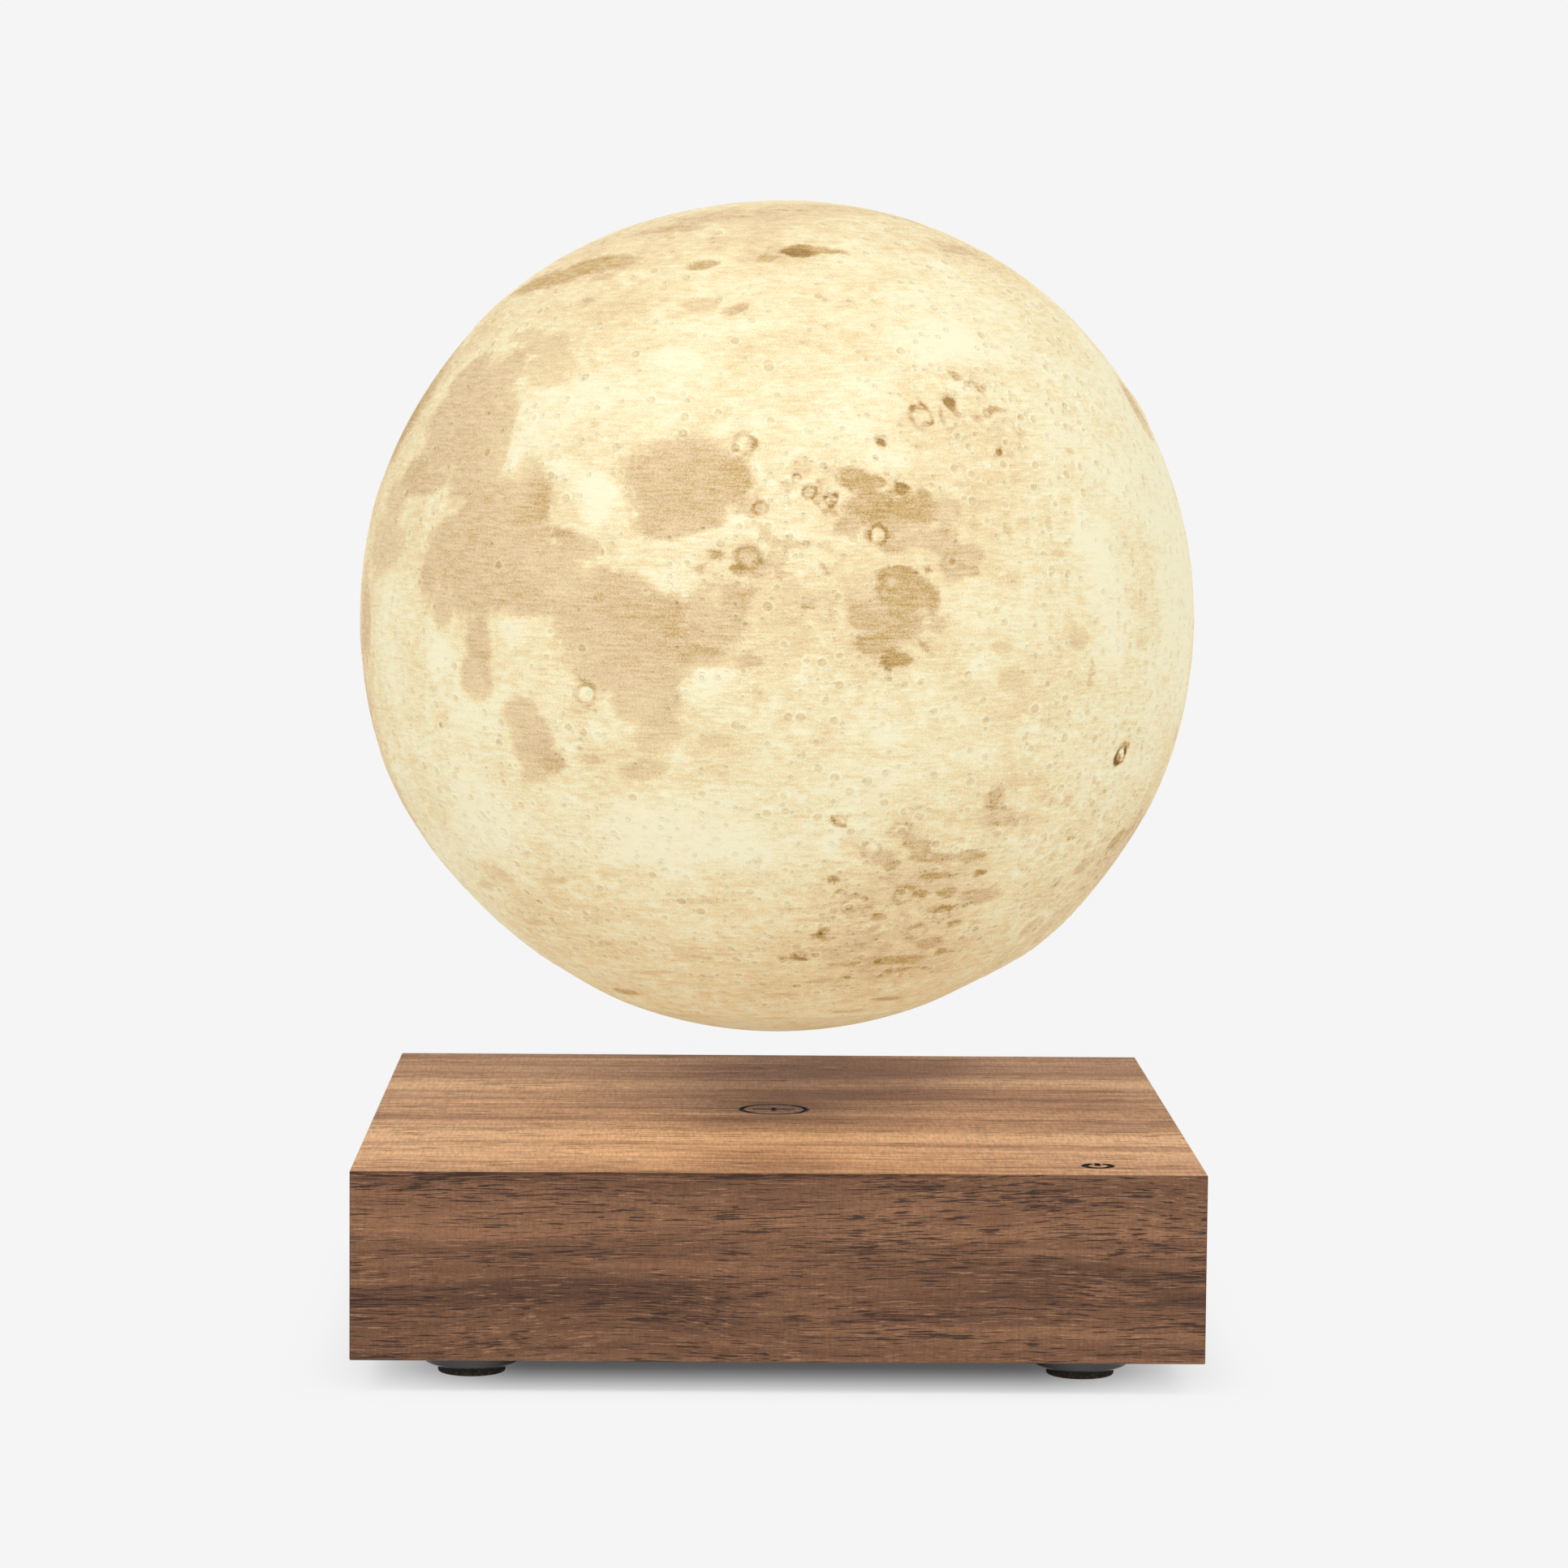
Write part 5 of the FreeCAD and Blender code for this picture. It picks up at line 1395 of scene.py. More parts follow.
@dataclass
class MoonGlobe:
    """The printed moon: a hollow ball with craters outside, and a neck round the hole in its foot."""

    body: str = "moon"
    points: int = 84000
    rim_points: int = 180
    inner_rows: int = 44
    wall: float = mm(1.4)
    neck_wall: float = mm(2.0)
    cap_gap: float = mm(0.2)
    skin_drop: float = mm(0.10)
    sea_drop: float = mm(0.18)
    relief: float = mm(0.26)
    relief_per_metre: float = 240.0
    rim_taper: float = mm(7.0)
    sea_edge: float = 1.5
    sea_power: int = 4
    tone_falloff: float = 1.2
    pit_falloff: float = 1.0
    swell_falloff: float = 1.4
    beyond: float = 9.0
    crater_spacing: float = 1.7
    crater_scales: tuple[float, float] = (0.45, 1.0)
    crater_tint: float = 0.8
    rough_in_sea: float = 0.25
    weld: float = mm(0.01)
    sharp_deg: float = 50.0
    cap_share_lit: float = 0.45
    craters: tuple[CraterSize, ...] = (
        CraterSize(mm(5.0), mm(0.40), mm(0.16), 220.0, 11),
        CraterSize(mm(3.2), mm(0.42), mm(0.18), 1900.0, 23),
        CraterSize(mm(2.2), mm(0.34), mm(0.16), 11000.0, 5),
    )
    radius: float = field(init=False)
    rim_radius: float = field(init=False)
    rim_level: float = field(init=False)
    neck_top: float = field(init=False)
    centre: Vector = field(init=False)
    pose: MoonPose = field(init=False)

    def __post_init__(self) -> None:
        """Reads the sizes that the frame holds."""
        low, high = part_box("moon_shell")
        cap_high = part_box("moon_cap")[1]
        self.radius = (high.x - low.x) / 2
        self.centre = Vector((0, 0, high.z - self.radius))
        self.pose = MoonPose(self.centre, self.radius)
        self.neck_top = cap_high.z
        self.rim_radius = cap_high.x + self.cap_gap
        self.rim_level = self.level_of(self.rim_radius, self.radius)

    def level_of(self, radius: float, ball: float) -> float:
        """The level, below the centre, where a ball round it has a given radius."""
        return self.centre.z - math.sqrt(ball**2 - radius**2)

    def ring(self, radius: float, level: float) -> list[Triple]:
        """Points round the moon's upright axis, as many as the rim has."""
        return circle(radius, level, self.rim_points, self.centre)

    def even_points(self) -> np.ndarray:
        """Evenly spread points on the ball, down to a little above its rim.

        Returns:
            The points, one in each row.
        """
        steps = np.arange(self.points) + 0.5
        height = 1 - 2 * steps / self.points
        turn = steps * math.pi * (3 - math.sqrt(5))
        across = np.sqrt(1 - height**2)
        even = np.stack([across * np.cos(turn), across * np.sin(turn), height], axis=1)
        even = even * self.radius + np.array(self.centre)
        spacing = 2 * math.pi * self.rim_radius / self.rim_points
        return even[even[:, 2] > self.rim_level + spacing / 3]

    def outside(self) -> Mesh:
        """Even points on the ball and exact ones on its rim, joined into one open skin.

        Returns:
            The skin.
        """
        shape = bmesh.new()
        for point in (*self.ring(self.rim_radius, self.rim_level), *self.even_points().tolist()):
            shape.verts.new(point)
        made = bmesh.ops.convex_hull(shape, input=shape.verts, use_existing_faces=False)
        stray = [item for item in made["geom_interior"] if isinstance(item, bmesh.types.BMVert)]
        bmesh.ops.delete(shape, geom=stray, context="VERTS")
        lid = [f for f in shape.faces if all(abs(v.co.z - self.rim_level) < self.weld for v in f.verts)]
        bmesh.ops.delete(shape, geom=lid, context="FACES")
        return mesh_from(shape, "moon_outside")

    def directions(self, mesh: Mesh) -> np.ndarray:
        """Each point's direction from the centre."""
        away = places_of(mesh).astype(float) - np.array(self.centre)
        return away / np.linalg.norm(away, axis=1, keepdims=True)

    def nearness(self, directions: np.ndarray, patch: Patch) -> np.ndarray:
        """How far each direction is from a patch's middle, in patch sizes.

        Args:
            directions: Unit vectors in the moon's own axes.
            patch: The oval patch.

        Returns:
            0 at the patch's middle, 1 on its edge and more outside.
        """
        north, east, turn = (math.radians(angle) for angle in (patch.north, patch.east, patch.turn))
        flat = math.cos(north)
        middle = np.array([flat * math.cos(east), flat * math.sin(east), math.sin(north)])
        eastward = np.array([-math.sin(east), math.cos(east), 0.0])
        northward = np.cross(middle, eastward)
        along = eastward * math.cos(turn) + northward * math.sin(turn)
        upward = northward * math.cos(turn) - eastward * math.sin(turn)
        reach = np.hypot(directions @ along / math.radians(patch.wide),
                         directions @ upward / math.radians(patch.high))
        return np.where(directions @ middle > 0, reach, self.beyond)

    def cover(self, directions: np.ndarray, areas: tuple[Patch, ...], falloff: float) -> np.ndarray:
        """How strongly soft patches cover each direction, all together."""
        return sum(area.strength * np.exp(-falloff * self.nearness(directions, area) ** 2) for area in areas)

    def seas(self, directions: np.ndarray) -> tuple[np.ndarray, np.ndarray]:
        """How far each direction is inside a sea, from 0 to 1, and how dark the seas are there.

        Args:
            directions: The directions, one in each row.

        Returns:
            The share of sea, then its darkness.
        """
        sea = np.zeros(len(directions))
        weight = np.full(len(directions), 1e-6)
        depth = np.zeros(len(directions))
        for patch in SEAS:
            share = np.clip(self.sea_edge - self.nearness(directions, patch), 0, 1)
            sea = np.maximum(sea, share)
            weight += share**self.sea_power
            depth += share**self.sea_power * patch.strength
        return sea, depth / weight

    def swells(self, directions: np.ndarray) -> np.ndarray:
        """The height of the print's broad swells in each direction of the frame.

        Args:
            directions: The directions, one in each row.

        Returns:
            The heights.
        """
        height = np.zeros(len(directions))
        for swell in SWELLS:
            bearing = math.radians(swell.bearing_deg)
            crest = np.array([math.cos(bearing), 0.0, math.sin(bearing)])
            away = np.arccos(np.clip(directions @ crest, -1, 1))
            spread = away / math.radians(swell.spread_deg)
            height += swell.height * np.exp(-(spread**2) / self.swell_falloff)
        return height

    def paint(self, mesh: Mesh) -> None:
        """Stores the seas, the rays and darker areas with the painted limb light and shade, and the broad
        swells on the skin's points.

        Args:
            mesh: The skin.
        """
        world = self.directions(mesh)
        own = world @ np.array(self.pose.turn())
        sea, depth = self.seas(own)
        # The tone holds the rays and darker areas, with the painted light and shade along the limbs.
        paler, darker = (self.cover(own, areas, self.tone_falloff) for areas in (RAYS_AND_LIMB_LIGHT, DARK_AREAS_AND_LIMB_SHADE))
        tone = np.clip(paler - darker, -1, 1)
        pitted = np.clip(self.cover(own, PITTED, self.pit_falloff), 0, 1)
        swell = self.swells(world)
        numbers = {"sea": sea, "sea_depth": depth, "tone": tone, "swell": swell, "pitted": pitted}
        for name, values in numbers.items():
            stored = mesh.attributes.new(name, "FLOAT", "POINT")
            stored.data.foreach_set("value", values.astype(np.float32))

    def crater_layer(self, tree: ShapeTree, size: CraterSize, number: int) -> tuple[Socket, Socket]:
        """Scatters one size of crater over the skin.

        Args:
            tree: The tree that is being built.
            size: The craters' sizes.
            number: The layer's number, which names its inputs.

        Returns:
            The height that the craters add to each point, and how light or dark they make it.
        """
        radius = tree.given[f"Crater Radius {number}"]
        spread = {"Distance Min": tree.times(radius, self.crater_spacing),
                  "Density Max": size.per_square_metre, "Seed": size.seed, "Mesh": tree.given["Geometry"]}
        scatter = tree.add("GeometryNodeDistributePointsOnFaces", spread, distribute_method="POISSON")
        centres = scatter.outputs[0]
        place = tree.here()
        nearest = tree.add("GeometryNodeSampleNearest", {"Geometry": centres}, domain="POINT").outputs[0]
        smallest, largest = self.crater_scales
        draw = {2: smallest, 3: largest, "Seed": size.seed}
        chance = tree.add("FunctionNodeRandomValue", draw, data_type="FLOAT").outputs[1]

        def at_centre(value: Socket, kind: str = "FLOAT") -> Socket:
            """A value as it is at the nearest crater's centre."""
            sampled = {"Geometry": centres, "Value": value, "Index": nearest}
            return tree.add("GeometryNodeSampleIndex", sampled, data_type=kind, domain="POINT").outputs[0]

        away = tree.vectors("DISTANCE", place, at_centre(place, "FLOAT_VECTOR")).outputs[1]
        scale = at_centre(chance)
        reach = tree.over(away, tree.times(radius, scale))
        flat = tree.between(at_centre(tree.stored("sea")), 0.25, 0.55, 1.0, 0.12)
        crowd = tree.between(at_centre(tree.stored("pitted")), 0.0, 1.0, 0.45, 1.15)
        bowl = tree.between(reach, 0.25, 0.95, 1.0, 0.0)
        lip = tree.times(tree.between(reach, 0.70, 1.0), tree.between(reach, 1.0, 1.5, 1.0, 0.0))
        strength = tree.times(scale, tree.times(flat, crowd))
        rise = tree.minus(tree.times(lip, size.lip), tree.times(bowl, size.depth))
        tint = tree.minus(lip, tree.times(bowl, self.crater_tint))
        return tree.times(rise, strength), tree.times(tint, strength)

    def cratered(self, mesh: Mesh, material: Material) -> Mesh:
        """Pushes the skin in and out by its swells, seas, rough land and craters.

        Args:
            mesh: The painted ball.
            material: The print's finish.

        Returns:
            The moon's outer skin.
        """
        sizes = {"Skin Drop": self.skin_drop, "Sea Drop": self.sea_drop, "Relief": self.relief,
                 "Relief Per Metre": self.relief_per_metre, "Rim Level": self.rim_level,
                 "Rim Taper": self.rim_taper, "Centre Level": self.centre.z}
        sizes.update({f"Crater Radius {i}": size.radius for i, size in enumerate(self.craters, 1)})
        tree = ShapeTree("moon_relief", sizes)
        given = tree.given
        rises, tints = zip(*(self.crater_layer(tree, size, i) for i, size in enumerate(self.craters, 1)))
        place = tree.here()
        on_sea = tree.between(tree.stored("sea"), 0.3, 0.6)
        clouds = tree.noise(place, given["Relief Per Metre"], 5.0, 0.55)
        calm = tree.between(on_sea, 0.0, 1.0, 1.0, self.rough_in_sea)
        rough = tree.times(tree.minus(clouds, 0.5), given["Relief"], calm)
        sunk = tree.total(given["Skin Drop"], tree.times(on_sea, given["Sea Drop"]))
        rise = tree.minus(tree.total(tree.stored("swell"), rough, *rises), sunk)

        level = tree.add("ShaderNodeSeparateXYZ", {0: place}).outputs[2]
        over_rim = tree.over(tree.minus(level, given["Rim Level"]), given["Rim Taper"])
        rise = tree.times(rise, tree.between(over_rim, 0.0, 1.0))
        middle = tree.vector(z=given["Centre Level"])
        away = tree.vectors("NORMALIZE", tree.vectors("SUBTRACT", place, middle).outputs[0]).outputs[0]
        offset = tree.add("ShaderNodeVectorMath", {0: away, "Scale": rise}, operation="SCALE").outputs[0]
        tinted = tree.keep("crater", tree.total(*tints))
        moved = tree.add("GeometryNodeSetPosition", {"Geometry": tinted, "Offset": offset}).outputs[0]
        tree.close(moved, material)
        return tree.run(mesh)

    def with_inside(self, skin: Mesh) -> Mesh:
        """Closes the skin with the neck and the smooth inner wall.

        Args:
            skin: The outer skin, open at its rim.

        Returns:
            The whole shell, one closed surface.
        """
        inner = self.radius - self.wall
        neck = self.rim_radius + self.neck_wall
        start = math.asin(neck / inner)
        angles = [start + (math.pi - start) * i / self.inner_rows for i in range(1, self.inner_rows)]
        outline = [(self.rim_radius, self.rim_level), (self.rim_radius, self.neck_top),
                   (neck, self.neck_top), (neck, self.level_of(neck, inner))]
        outline += [(inner * math.sin(a), self.centre.z - inner * math.cos(a)) for a in angles]
        shape = bmesh.new()
        shape.from_mesh(skin)
        rings = [[shape.verts.new(point) for point in self.ring(r, z)] for r, z in outline]
        bridge(shape, rings)
        crown = shape.verts.new((0, 0, self.centre.z + inner))
        for i in range(self.rim_points):
            shape.faces.new((rings[-1][i], crown, rings[-1][(i + 1) % self.rim_points]))
        bmesh.ops.remove_doubles(shape, verts=shape.verts, dist=self.weld)
        bmesh.ops.recalc_face_normals(shape, faces=shape.faces)
        for face in shape.faces:
            face.smooth = True
        return mesh_from(shape, "moon_globe")

    def keep_inside(self, mesh: Mesh) -> None:
        """Holds the moon's highest points inside the frame's box.

        Args:
            mesh: The skin.
        """
        low, high = (np.array(corner, np.float32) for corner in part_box("moon_shell"))
        mesh.vertices.foreach_set("co", np.clip(places_of(mesh), low, high).ravel())
        mesh.set_sharp_from_angle(angle=math.radians(self.sharp_deg))

    def build(self) -> None:
        """Makes the moon and gives its cap the same finish."""
        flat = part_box("moon_cap")[0].z
        skin = MoonPrint("moon_print", self.pose, flat).material()
        ball = self.outside()
        self.paint(ball)
        shell = self.with_inside(self.cratered(ball, skin))
        self.keep_inside(shell)
        ride_for(add_piece("moon_globe", shell, skin), self.body, "moon_print", "moon_shell")
        cap = MoonPrint("moon_cap_print", self.pose, flat, share_lit=self.cap_share_lit)
        dress(cap.material(), "moon_cap")


# ---------------------------------------------------------------- casing


def bands(*rows: Triple) -> tuple[Band, ...]:
    """Bands from rows of two lengths in millimetres and a strength."""
    return tuple(Band(mm(offset), mm(half_width), strength) for offset, half_width, strength in rows)


def clouds(*rows: tuple[float, float, float, float, float]) -> tuple[Cloud, ...]:
    """Clouds from rows of four lengths in millimetres and a strength."""
    return tuple(Cloud(*map(mm, lengths), strength) for *lengths, strength in rows)


TOP_BANDS = bands(
    (72, 9, -0.02), (38, 9, 0.14), (12, 14, 0.05), (-38, 9, 0.20), (-58, 12, 0.06), (-78, 9, -0.02),
)

# The darker clouds at (13, 44), (57, 22), (32, 70), (0, 5) and (66, 8) millimetres, behind the middle and to
# the right under the moon, are painted shadow of the moon and its cap; the others are the board's figure.
TOP_CLOUDS_AND_MOON_SHADOW = clouds(
    (13, 44, 35, 44, -0.16), (57, 22, 34, 22, -0.09), (-3, -70, 18, 15, -0.14), (-70, 22, 32, 22, 0.05),
    (-72, -66, 26, 8, 0.06), (-30, -19, 20, 7, 0.14), (32, 70, 26, 10, -0.12), (-72, -81, 28, 5, 0.07),
    (0, 5, 16, 12, -0.10), (66, 8, 26, 11, -0.08), (-32, -62, 17, 6, 0.08), (68, -81, 15, 4, 0.08),
    (-68, -20, 24, 7, 0.09),
)

FRONT_BANDS = bands((20, 2.5, -0.08), (15, 2.0, 0.05), (44.2, 0.8, -0.12), (9, 2.0, -0.05), (33, 4, 0.05))

FRONT_CLOUDS = clouds(
    (44, 24.8, 30, 2.4, -0.11), (4, 19.3, 18, 2.6, 0.11), (36, 15.4, 24, 2.4, -0.10),
    (30, 11.5, 34, 1.8, -0.05), (0, 38.4, 16, 1.6, -0.10), (-20, 41.4, 34, 1.6, -0.08),
    (-18, 13.8, 34, 2.2, -0.11), (66, 20.2, 10, 2.4, 0.12), (62, 26.5, 16, 1.8, -0.09),
)


@dataclass
class WalnutCasing:
    """The walnut box: its boards, the blocks in its corners and the cover under it."""

    ring_inner: float = mm(6.30)
    ring_outer: float = mm(7.65)
    cross_bars: tuple[Bar, ...] = (Bar(mm(4.6), mm(0.75), 0.0), Bar(mm(0.60), mm(2.4), 0.0))
    touch_inner: float = mm(1.85)
    touch_outer: float = mm(3.4)
    touch_half_gap_deg: float = 21.0
    touch_bars: tuple[Bar, ...] = (Bar(mm(0.62), mm(1.8), mm(1.6)),)

    def marks(self) -> tuple[Mark, Mark]:
        """The placing mark in the middle of the top, and the touch mark over its pad.

        Returns:
            The placing mark, then the touch mark.
        """
        low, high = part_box("touch_pad")
        touch = (low + high) / 2
        return (Mark(0.0, 0.0, self.ring_inner, self.ring_outer, 0.0, self.cross_bars),
                Mark(touch.x, touch.y, self.touch_inner, self.touch_outer, self.touch_half_gap_deg,
                     self.touch_bars))

    def side(self, name: str, seed: float, **how: Grain | tuple[Band | Cloud, ...]) -> Material:
        """The darker walnut of the boards that stand: partly the wood's own colour and partly painted shade,
        the top's walnut darkened for the lesser light that standing faces get.

        Args:
            name: The material's name.
            seed: Where in the noise the board starts.
            **how: The way that its fibres run, and its figure.

        Returns:
            The material.
        """
        return Walnut(name, dark=srgb(84, 54, 35), middle=srgb(114, 77, 52), light=srgb(143, 100, 69),
                      pore=srgb(50, 31, 22), fleck=srgb(184, 138, 104), figure_axis=2, seed=seed,
                      **how).material()

    def build(self) -> None:
        """Dresses the boards, the blocks, the cover and the screws that hold it."""
        # The top's paler walnut is partly the wood's own colour and partly painted light: the same wood as
        # the standing boards, lightened for the light that falls on it from above.
        top = Walnut("walnut_top", dark=srgb(150, 105, 73), middle=srgb(194, 145, 104),
                     light=srgb(232, 182, 132), pore=srgb(104, 70, 49), fleck=srgb(240, 202, 160),
                     figure=TOP_BANDS, clouds=TOP_CLOUDS_AND_MOON_SHADOW, bands=Steps(4, 90), streaks=Steps(14, 450),
                     pores=Steps(110, 1300), pore_share=0.585, pore_strength=0.62, ripple=1.0, speck=0.9,
                     roughness=0.55, gloss=0.2, seed=2.0)
        dress(top.material(self.marks(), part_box("top_board")[1].z), "top_board")
        dress(self.side("walnut_front", 5.0, figure=FRONT_BANDS, clouds=FRONT_CLOUDS), "front_board")
        dress(self.side("walnut_back", 9.0), "back_board")
        dress(self.side("walnut_right", 13.0, grain=Grain.ALONG_Y), "right_board")
        dress(self.side("walnut_left", 17.0, grain=Grain.ALONG_Y), "left_board")
        blocks = Walnut("block_wood", dark=srgb(176, 140, 98), middle=srgb(198, 164, 120),
                        light=srgb(214, 184, 142), pore=srgb(140, 104, 70), fleck=srgb(224, 198, 160),
                        roughness=0.7, gloss=0.1)
        dress(blocks.material(), "corner_blocks")
        cover = Moulded("cover_black", srgb(30, 30, 31), roughness=0.6, gloss=0.35, grain_depth=mm(0.05))
        dress(cover.material(), "bottom_cover")
        zinc = Metal("screw_zinc", srgb(190, 190, 194)).material()
        dress(zinc, "cover_screws", "foot_screws", "tray_screws", "board_screws", "cap_screws")


@dataclass
class Feet:
    """Four tapered collars with soft pads under them."""

    corners: tuple[str, ...] = ("front_left", "front_right", "back_left", "back_right")

    def build(self) -> None:
        """Dresses the collars and the pads."""
        collar = Moulded("collar_gloss", srgb(66, 65, 61), roughness=0.18, gloss=0.7, grain_depth=mm(0.004))
        dress(collar.material(), *(f"foot_collar_{corner}" for corner in self.corners))
        pad = Granular("pad_granules", srgb(74, 68, 60), srgb(126, 92, 66))
        dress(pad.material(), *(f"foot_pad_{corner}" for corner in self.corners))


@dataclass
class PowerInlet:
    """The round power inlet in the back, with its nut, lugs and leads."""

    def build(self) -> None:
        """Dresses the inlet's parts and the touch sensor's lead."""
        dress(Moulded("inlet_black", srgb(24, 24, 25), roughness=0.3).material(), "inlet_body")
        nickel = Metal("nickel", srgb(214, 209, 199), roughness=0.2, polish=Polish.TURNED).material()
        dress(nickel, "inlet_pin", "inlet_nut", "lifting_magnet")
        dress(Metal("lug_brass", srgb(214, 182, 112), roughness=0.3).material(), "inlet_lugs")
        black = Moulded("lead_black", srgb(26, 26, 27), roughness=0.5)
        dress(black.material(), "inlet_lead_black", "touch_lead")
        dress(Moulded("lead_red", srgb(176, 28, 26), roughness=0.5).material(), "inlet_lead_red")


@dataclass
class Winding:
    """A coil of enamelled wire whose turns show: a helix round a core, or a flat spiral in two layers."""

    node: str
    body: str
    hole: float
    wire: float
    steps_per_turn: int = 56
    sides: int = 8
    sharp_deg: float = 60.0
    low: Vector = field(init=False)
    high: Vector = field(init=False)
    middle: Vector = field(init=False)
    outer: float = field(init=False)

    def __post_init__(self) -> None:
        """Reads the space that the coil fills."""
        self.low, self.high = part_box(self.node)
        self.middle = (self.low + self.high) / 2
        self.outer = (self.high.x - self.low.x) / 2

    def tree(self, material: Material) -> ShapeTree:
        """Builds the turns.

        Args:
            material: The wire's finish.

        Returns:
            The finished tree.
        """
        tall = self.high.z - self.low.z
        wide = self.outer - self.hole
        is_flat = wide > tall
        turns = int((wide if is_flat else tall) / self.wire) - 1
        half = self.wire / 2
        sizes = {"Turns": float(turns), "Inner Radius": self.hole + half if is_flat else self.outer - half,
                 "Outer Radius": self.outer - half, "Height": 0.0 if is_flat else tall - self.wire,
                 "Wire Radius": half}
        tree = ShapeTree(f"{self.node}_turns", sizes)
        given = tree.given
        spiral = {"Resolution": self.steps_per_turn, "Rotations": given["Turns"],
                  "Start Radius": given["Inner Radius"], "End Radius": given["Outer Radius"],
                  "Height": given["Height"]}
        path = tree.add("GeometryNodeCurveSpiral", spiral).outputs[0]
        circle_sizes = {"Resolution": self.sides, "Radius": given["Wire Radius"]}
        section = tree.add("GeometryNodeCurvePrimitiveCircle", circle_sizes).outputs[0]
        swept = {"Curve": path, "Profile Curve": section, "Fill Caps": True}
        wire = tree.add("GeometryNodeCurveToMesh", swept).outputs[0]
        levels = [self.low.z + half]
        if is_flat:
            levels = [self.middle.z + (layer - 0.5) * self.wire for layer in range(2)]
        join = tree.add("GeometryNodeJoinGeometry")
        for level in levels:
            moved = {"Geometry": wire, "Translation": (self.middle.x, self.middle.y, level)}
            tree.feed(join.inputs[0], tree.add("GeometryNodeTransform", moved).outputs[0])
        tree.feed(join.inputs[0], given["Geometry"])
        tree.close(join.outputs[0], material)
        return tree

    def core(self) -> Mesh:
        """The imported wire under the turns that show, as a plain ring.

        Returns:
            The ring.
        """
        outer = self.outer - self.wire / 2
        bottom, top = self.low.z + self.wire / 2, self.high.z - self.wire / 2
        corners = ((outer, bottom), (outer, top), (self.hole, top), (self.hole, bottom))
        shape = bmesh.new()
        rings = []
        for radius, level in corners:
            points = circle(radius, level, self.steps_per_turn, self.middle)
            rings.append([shape.verts.new(point) for point in points])
        bridge(shape, rings + rings[:1])
        bmesh.ops.recalc_face_normals(shape, faces=shape.faces)
        return mesh_from(shape, f"{self.node}_core")

    def build(self, material: Material) -> None:
        """Winds the coil in its node's place.

        Args:
            material: The wire's finish.
        """
        wound = self.tree(material).run(self.core())
        wound.shade_smooth()
        wound.set_sharp_from_angle(angle=math.radians(self.sharp_deg))
        ride_for(add_piece(f"{self.node}_wire", wound, material), self.body, "copper", self.node)


@dataclass
class LevitationModule:
    """The tray under the top with its ring magnet, steering coils, sensors and sender coil."""

    steering_coils: int = 4
    coil_wire: float = mm(0.9)
    coil_hole: float = mm(5.3)
    sender_wire: float = mm(1.0)
    sender_hole: float = mm(40.0)

    def build(self) -> None:
        """Dresses the module and winds its coils."""
        wire = EnamelledWire("enamelled_copper").material()
        for number in range(1, self.steering_coils + 1):
            Winding(f"coil_winding_{number}", "casing", self.coil_hole, self.coil_wire).build(wire)
        Winding("sender_coil", "casing", self.sender_hole, self.sender_wire, steps_per_turn=96).build(wire)
        dress(wire, "touch_pad")
        module = Moulded("module_plastic", srgb(38, 39, 41), roughness=0.5)
        dress(module.material(), "module_tray", "module_lid", "sensor_post")
        ferrite = Sintered("ferrite", srgb(52, 52, 56), srgb(92, 92, 96))
        dress(ferrite.material(), "ring_magnet", "receiver_ferrite")
        nylon = Moulded("bobbin_nylon", srgb(232, 228, 216), roughness=0.45)
        dress(nylon.material(), "coil_bobbins", "led_spacers")
        iron = Metal("soft_iron", srgb(128, 126, 124), roughness=0.42, polish=Polish.TURNED)
        dress(iron.material(), "coil_cores")


@dataclass
class CasingElectronics:
    """The boards, chips, capacitors and connectors in the casing and in the moon's cap."""

    def build(self) -> None:
        """Dresses the electronics."""
        board = CircuitBoard("green_board", srgb(22, 92, 52), srgb(44, 128, 74), srgb(208, 196, 150))
        dress(board.material(), "main_board", "sensor_board", "touch_board", "rectifier_board")
        chip = Moulded("chip_epoxy", srgb(28, 28, 30), roughness=0.55, grain_depth=mm(0.01))
        dress(chip.material(), "controller_chip", "driver_chips", "position_sensors")
        dress(Metal("can_aluminium", srgb(206, 207, 209), roughness=0.28).material(), "power_capacitors")
        dress(Moulded("connector_ivory", srgb(236, 230, 212), roughness=0.35).material(), "board_connectors")


@dataclass
class MoonLight:
    """What is inside the moon: the receiver coil, the light board with its chips, and the dome over it."""

    receiver_wire: float = mm(1.0)
    receiver_hole: float = mm(21.1)

    def build(self) -> None:
        """Dresses the light and winds the receiver coil."""
        wire = EnamelledWire("receiver_copper").material()
        coil = Winding("receiver_coil", "moon", self.receiver_hole, self.receiver_wire, steps_per_turn=72)
        coil.build(wire)
        white = Moulded("board_white", srgb(238, 238, 234), roughness=0.4, variation=0.05)
        dress(white.material(), "led_board")
        phosphor = Moulded("light_phosphor", srgb(250, 226, 130), roughness=0.3, glow=1.5)
        dress(phosphor.material(), "led_chips")
        opal = Moulded("dome_opal", srgb(242, 238, 226), roughness=0.35, glow=0.25)
        dress(opal.material(), "diffuser_dome")


# ---------------------------------------------------------------- studio


@dataclass(frozen=True)
class SoftLamp:
    """A soft lamp: where it hangs, its side and how brightly it lights a face that looks at it."""

    name: str
    place: Triple
    side: float
    level: float

    def hang(self, target: Vector) -> None:
        """Hangs the lamp and aims it.

        Args:
            target: The place it aims at.
        """
        away = Vector(self.place) - target
        lamp = bpy.data.lights.new(self.name, "AREA")
        lamp.shape = "SQUARE"
        lamp.size = self.side
        lamp.energy = self.level * math.pi**2 * away.length_squared
        holder = put_in_scene(self.name, lamp)
        holder.location = self.place
        holder.rotation_euler = away.to_track_quat("Z", "Y").to_euler()


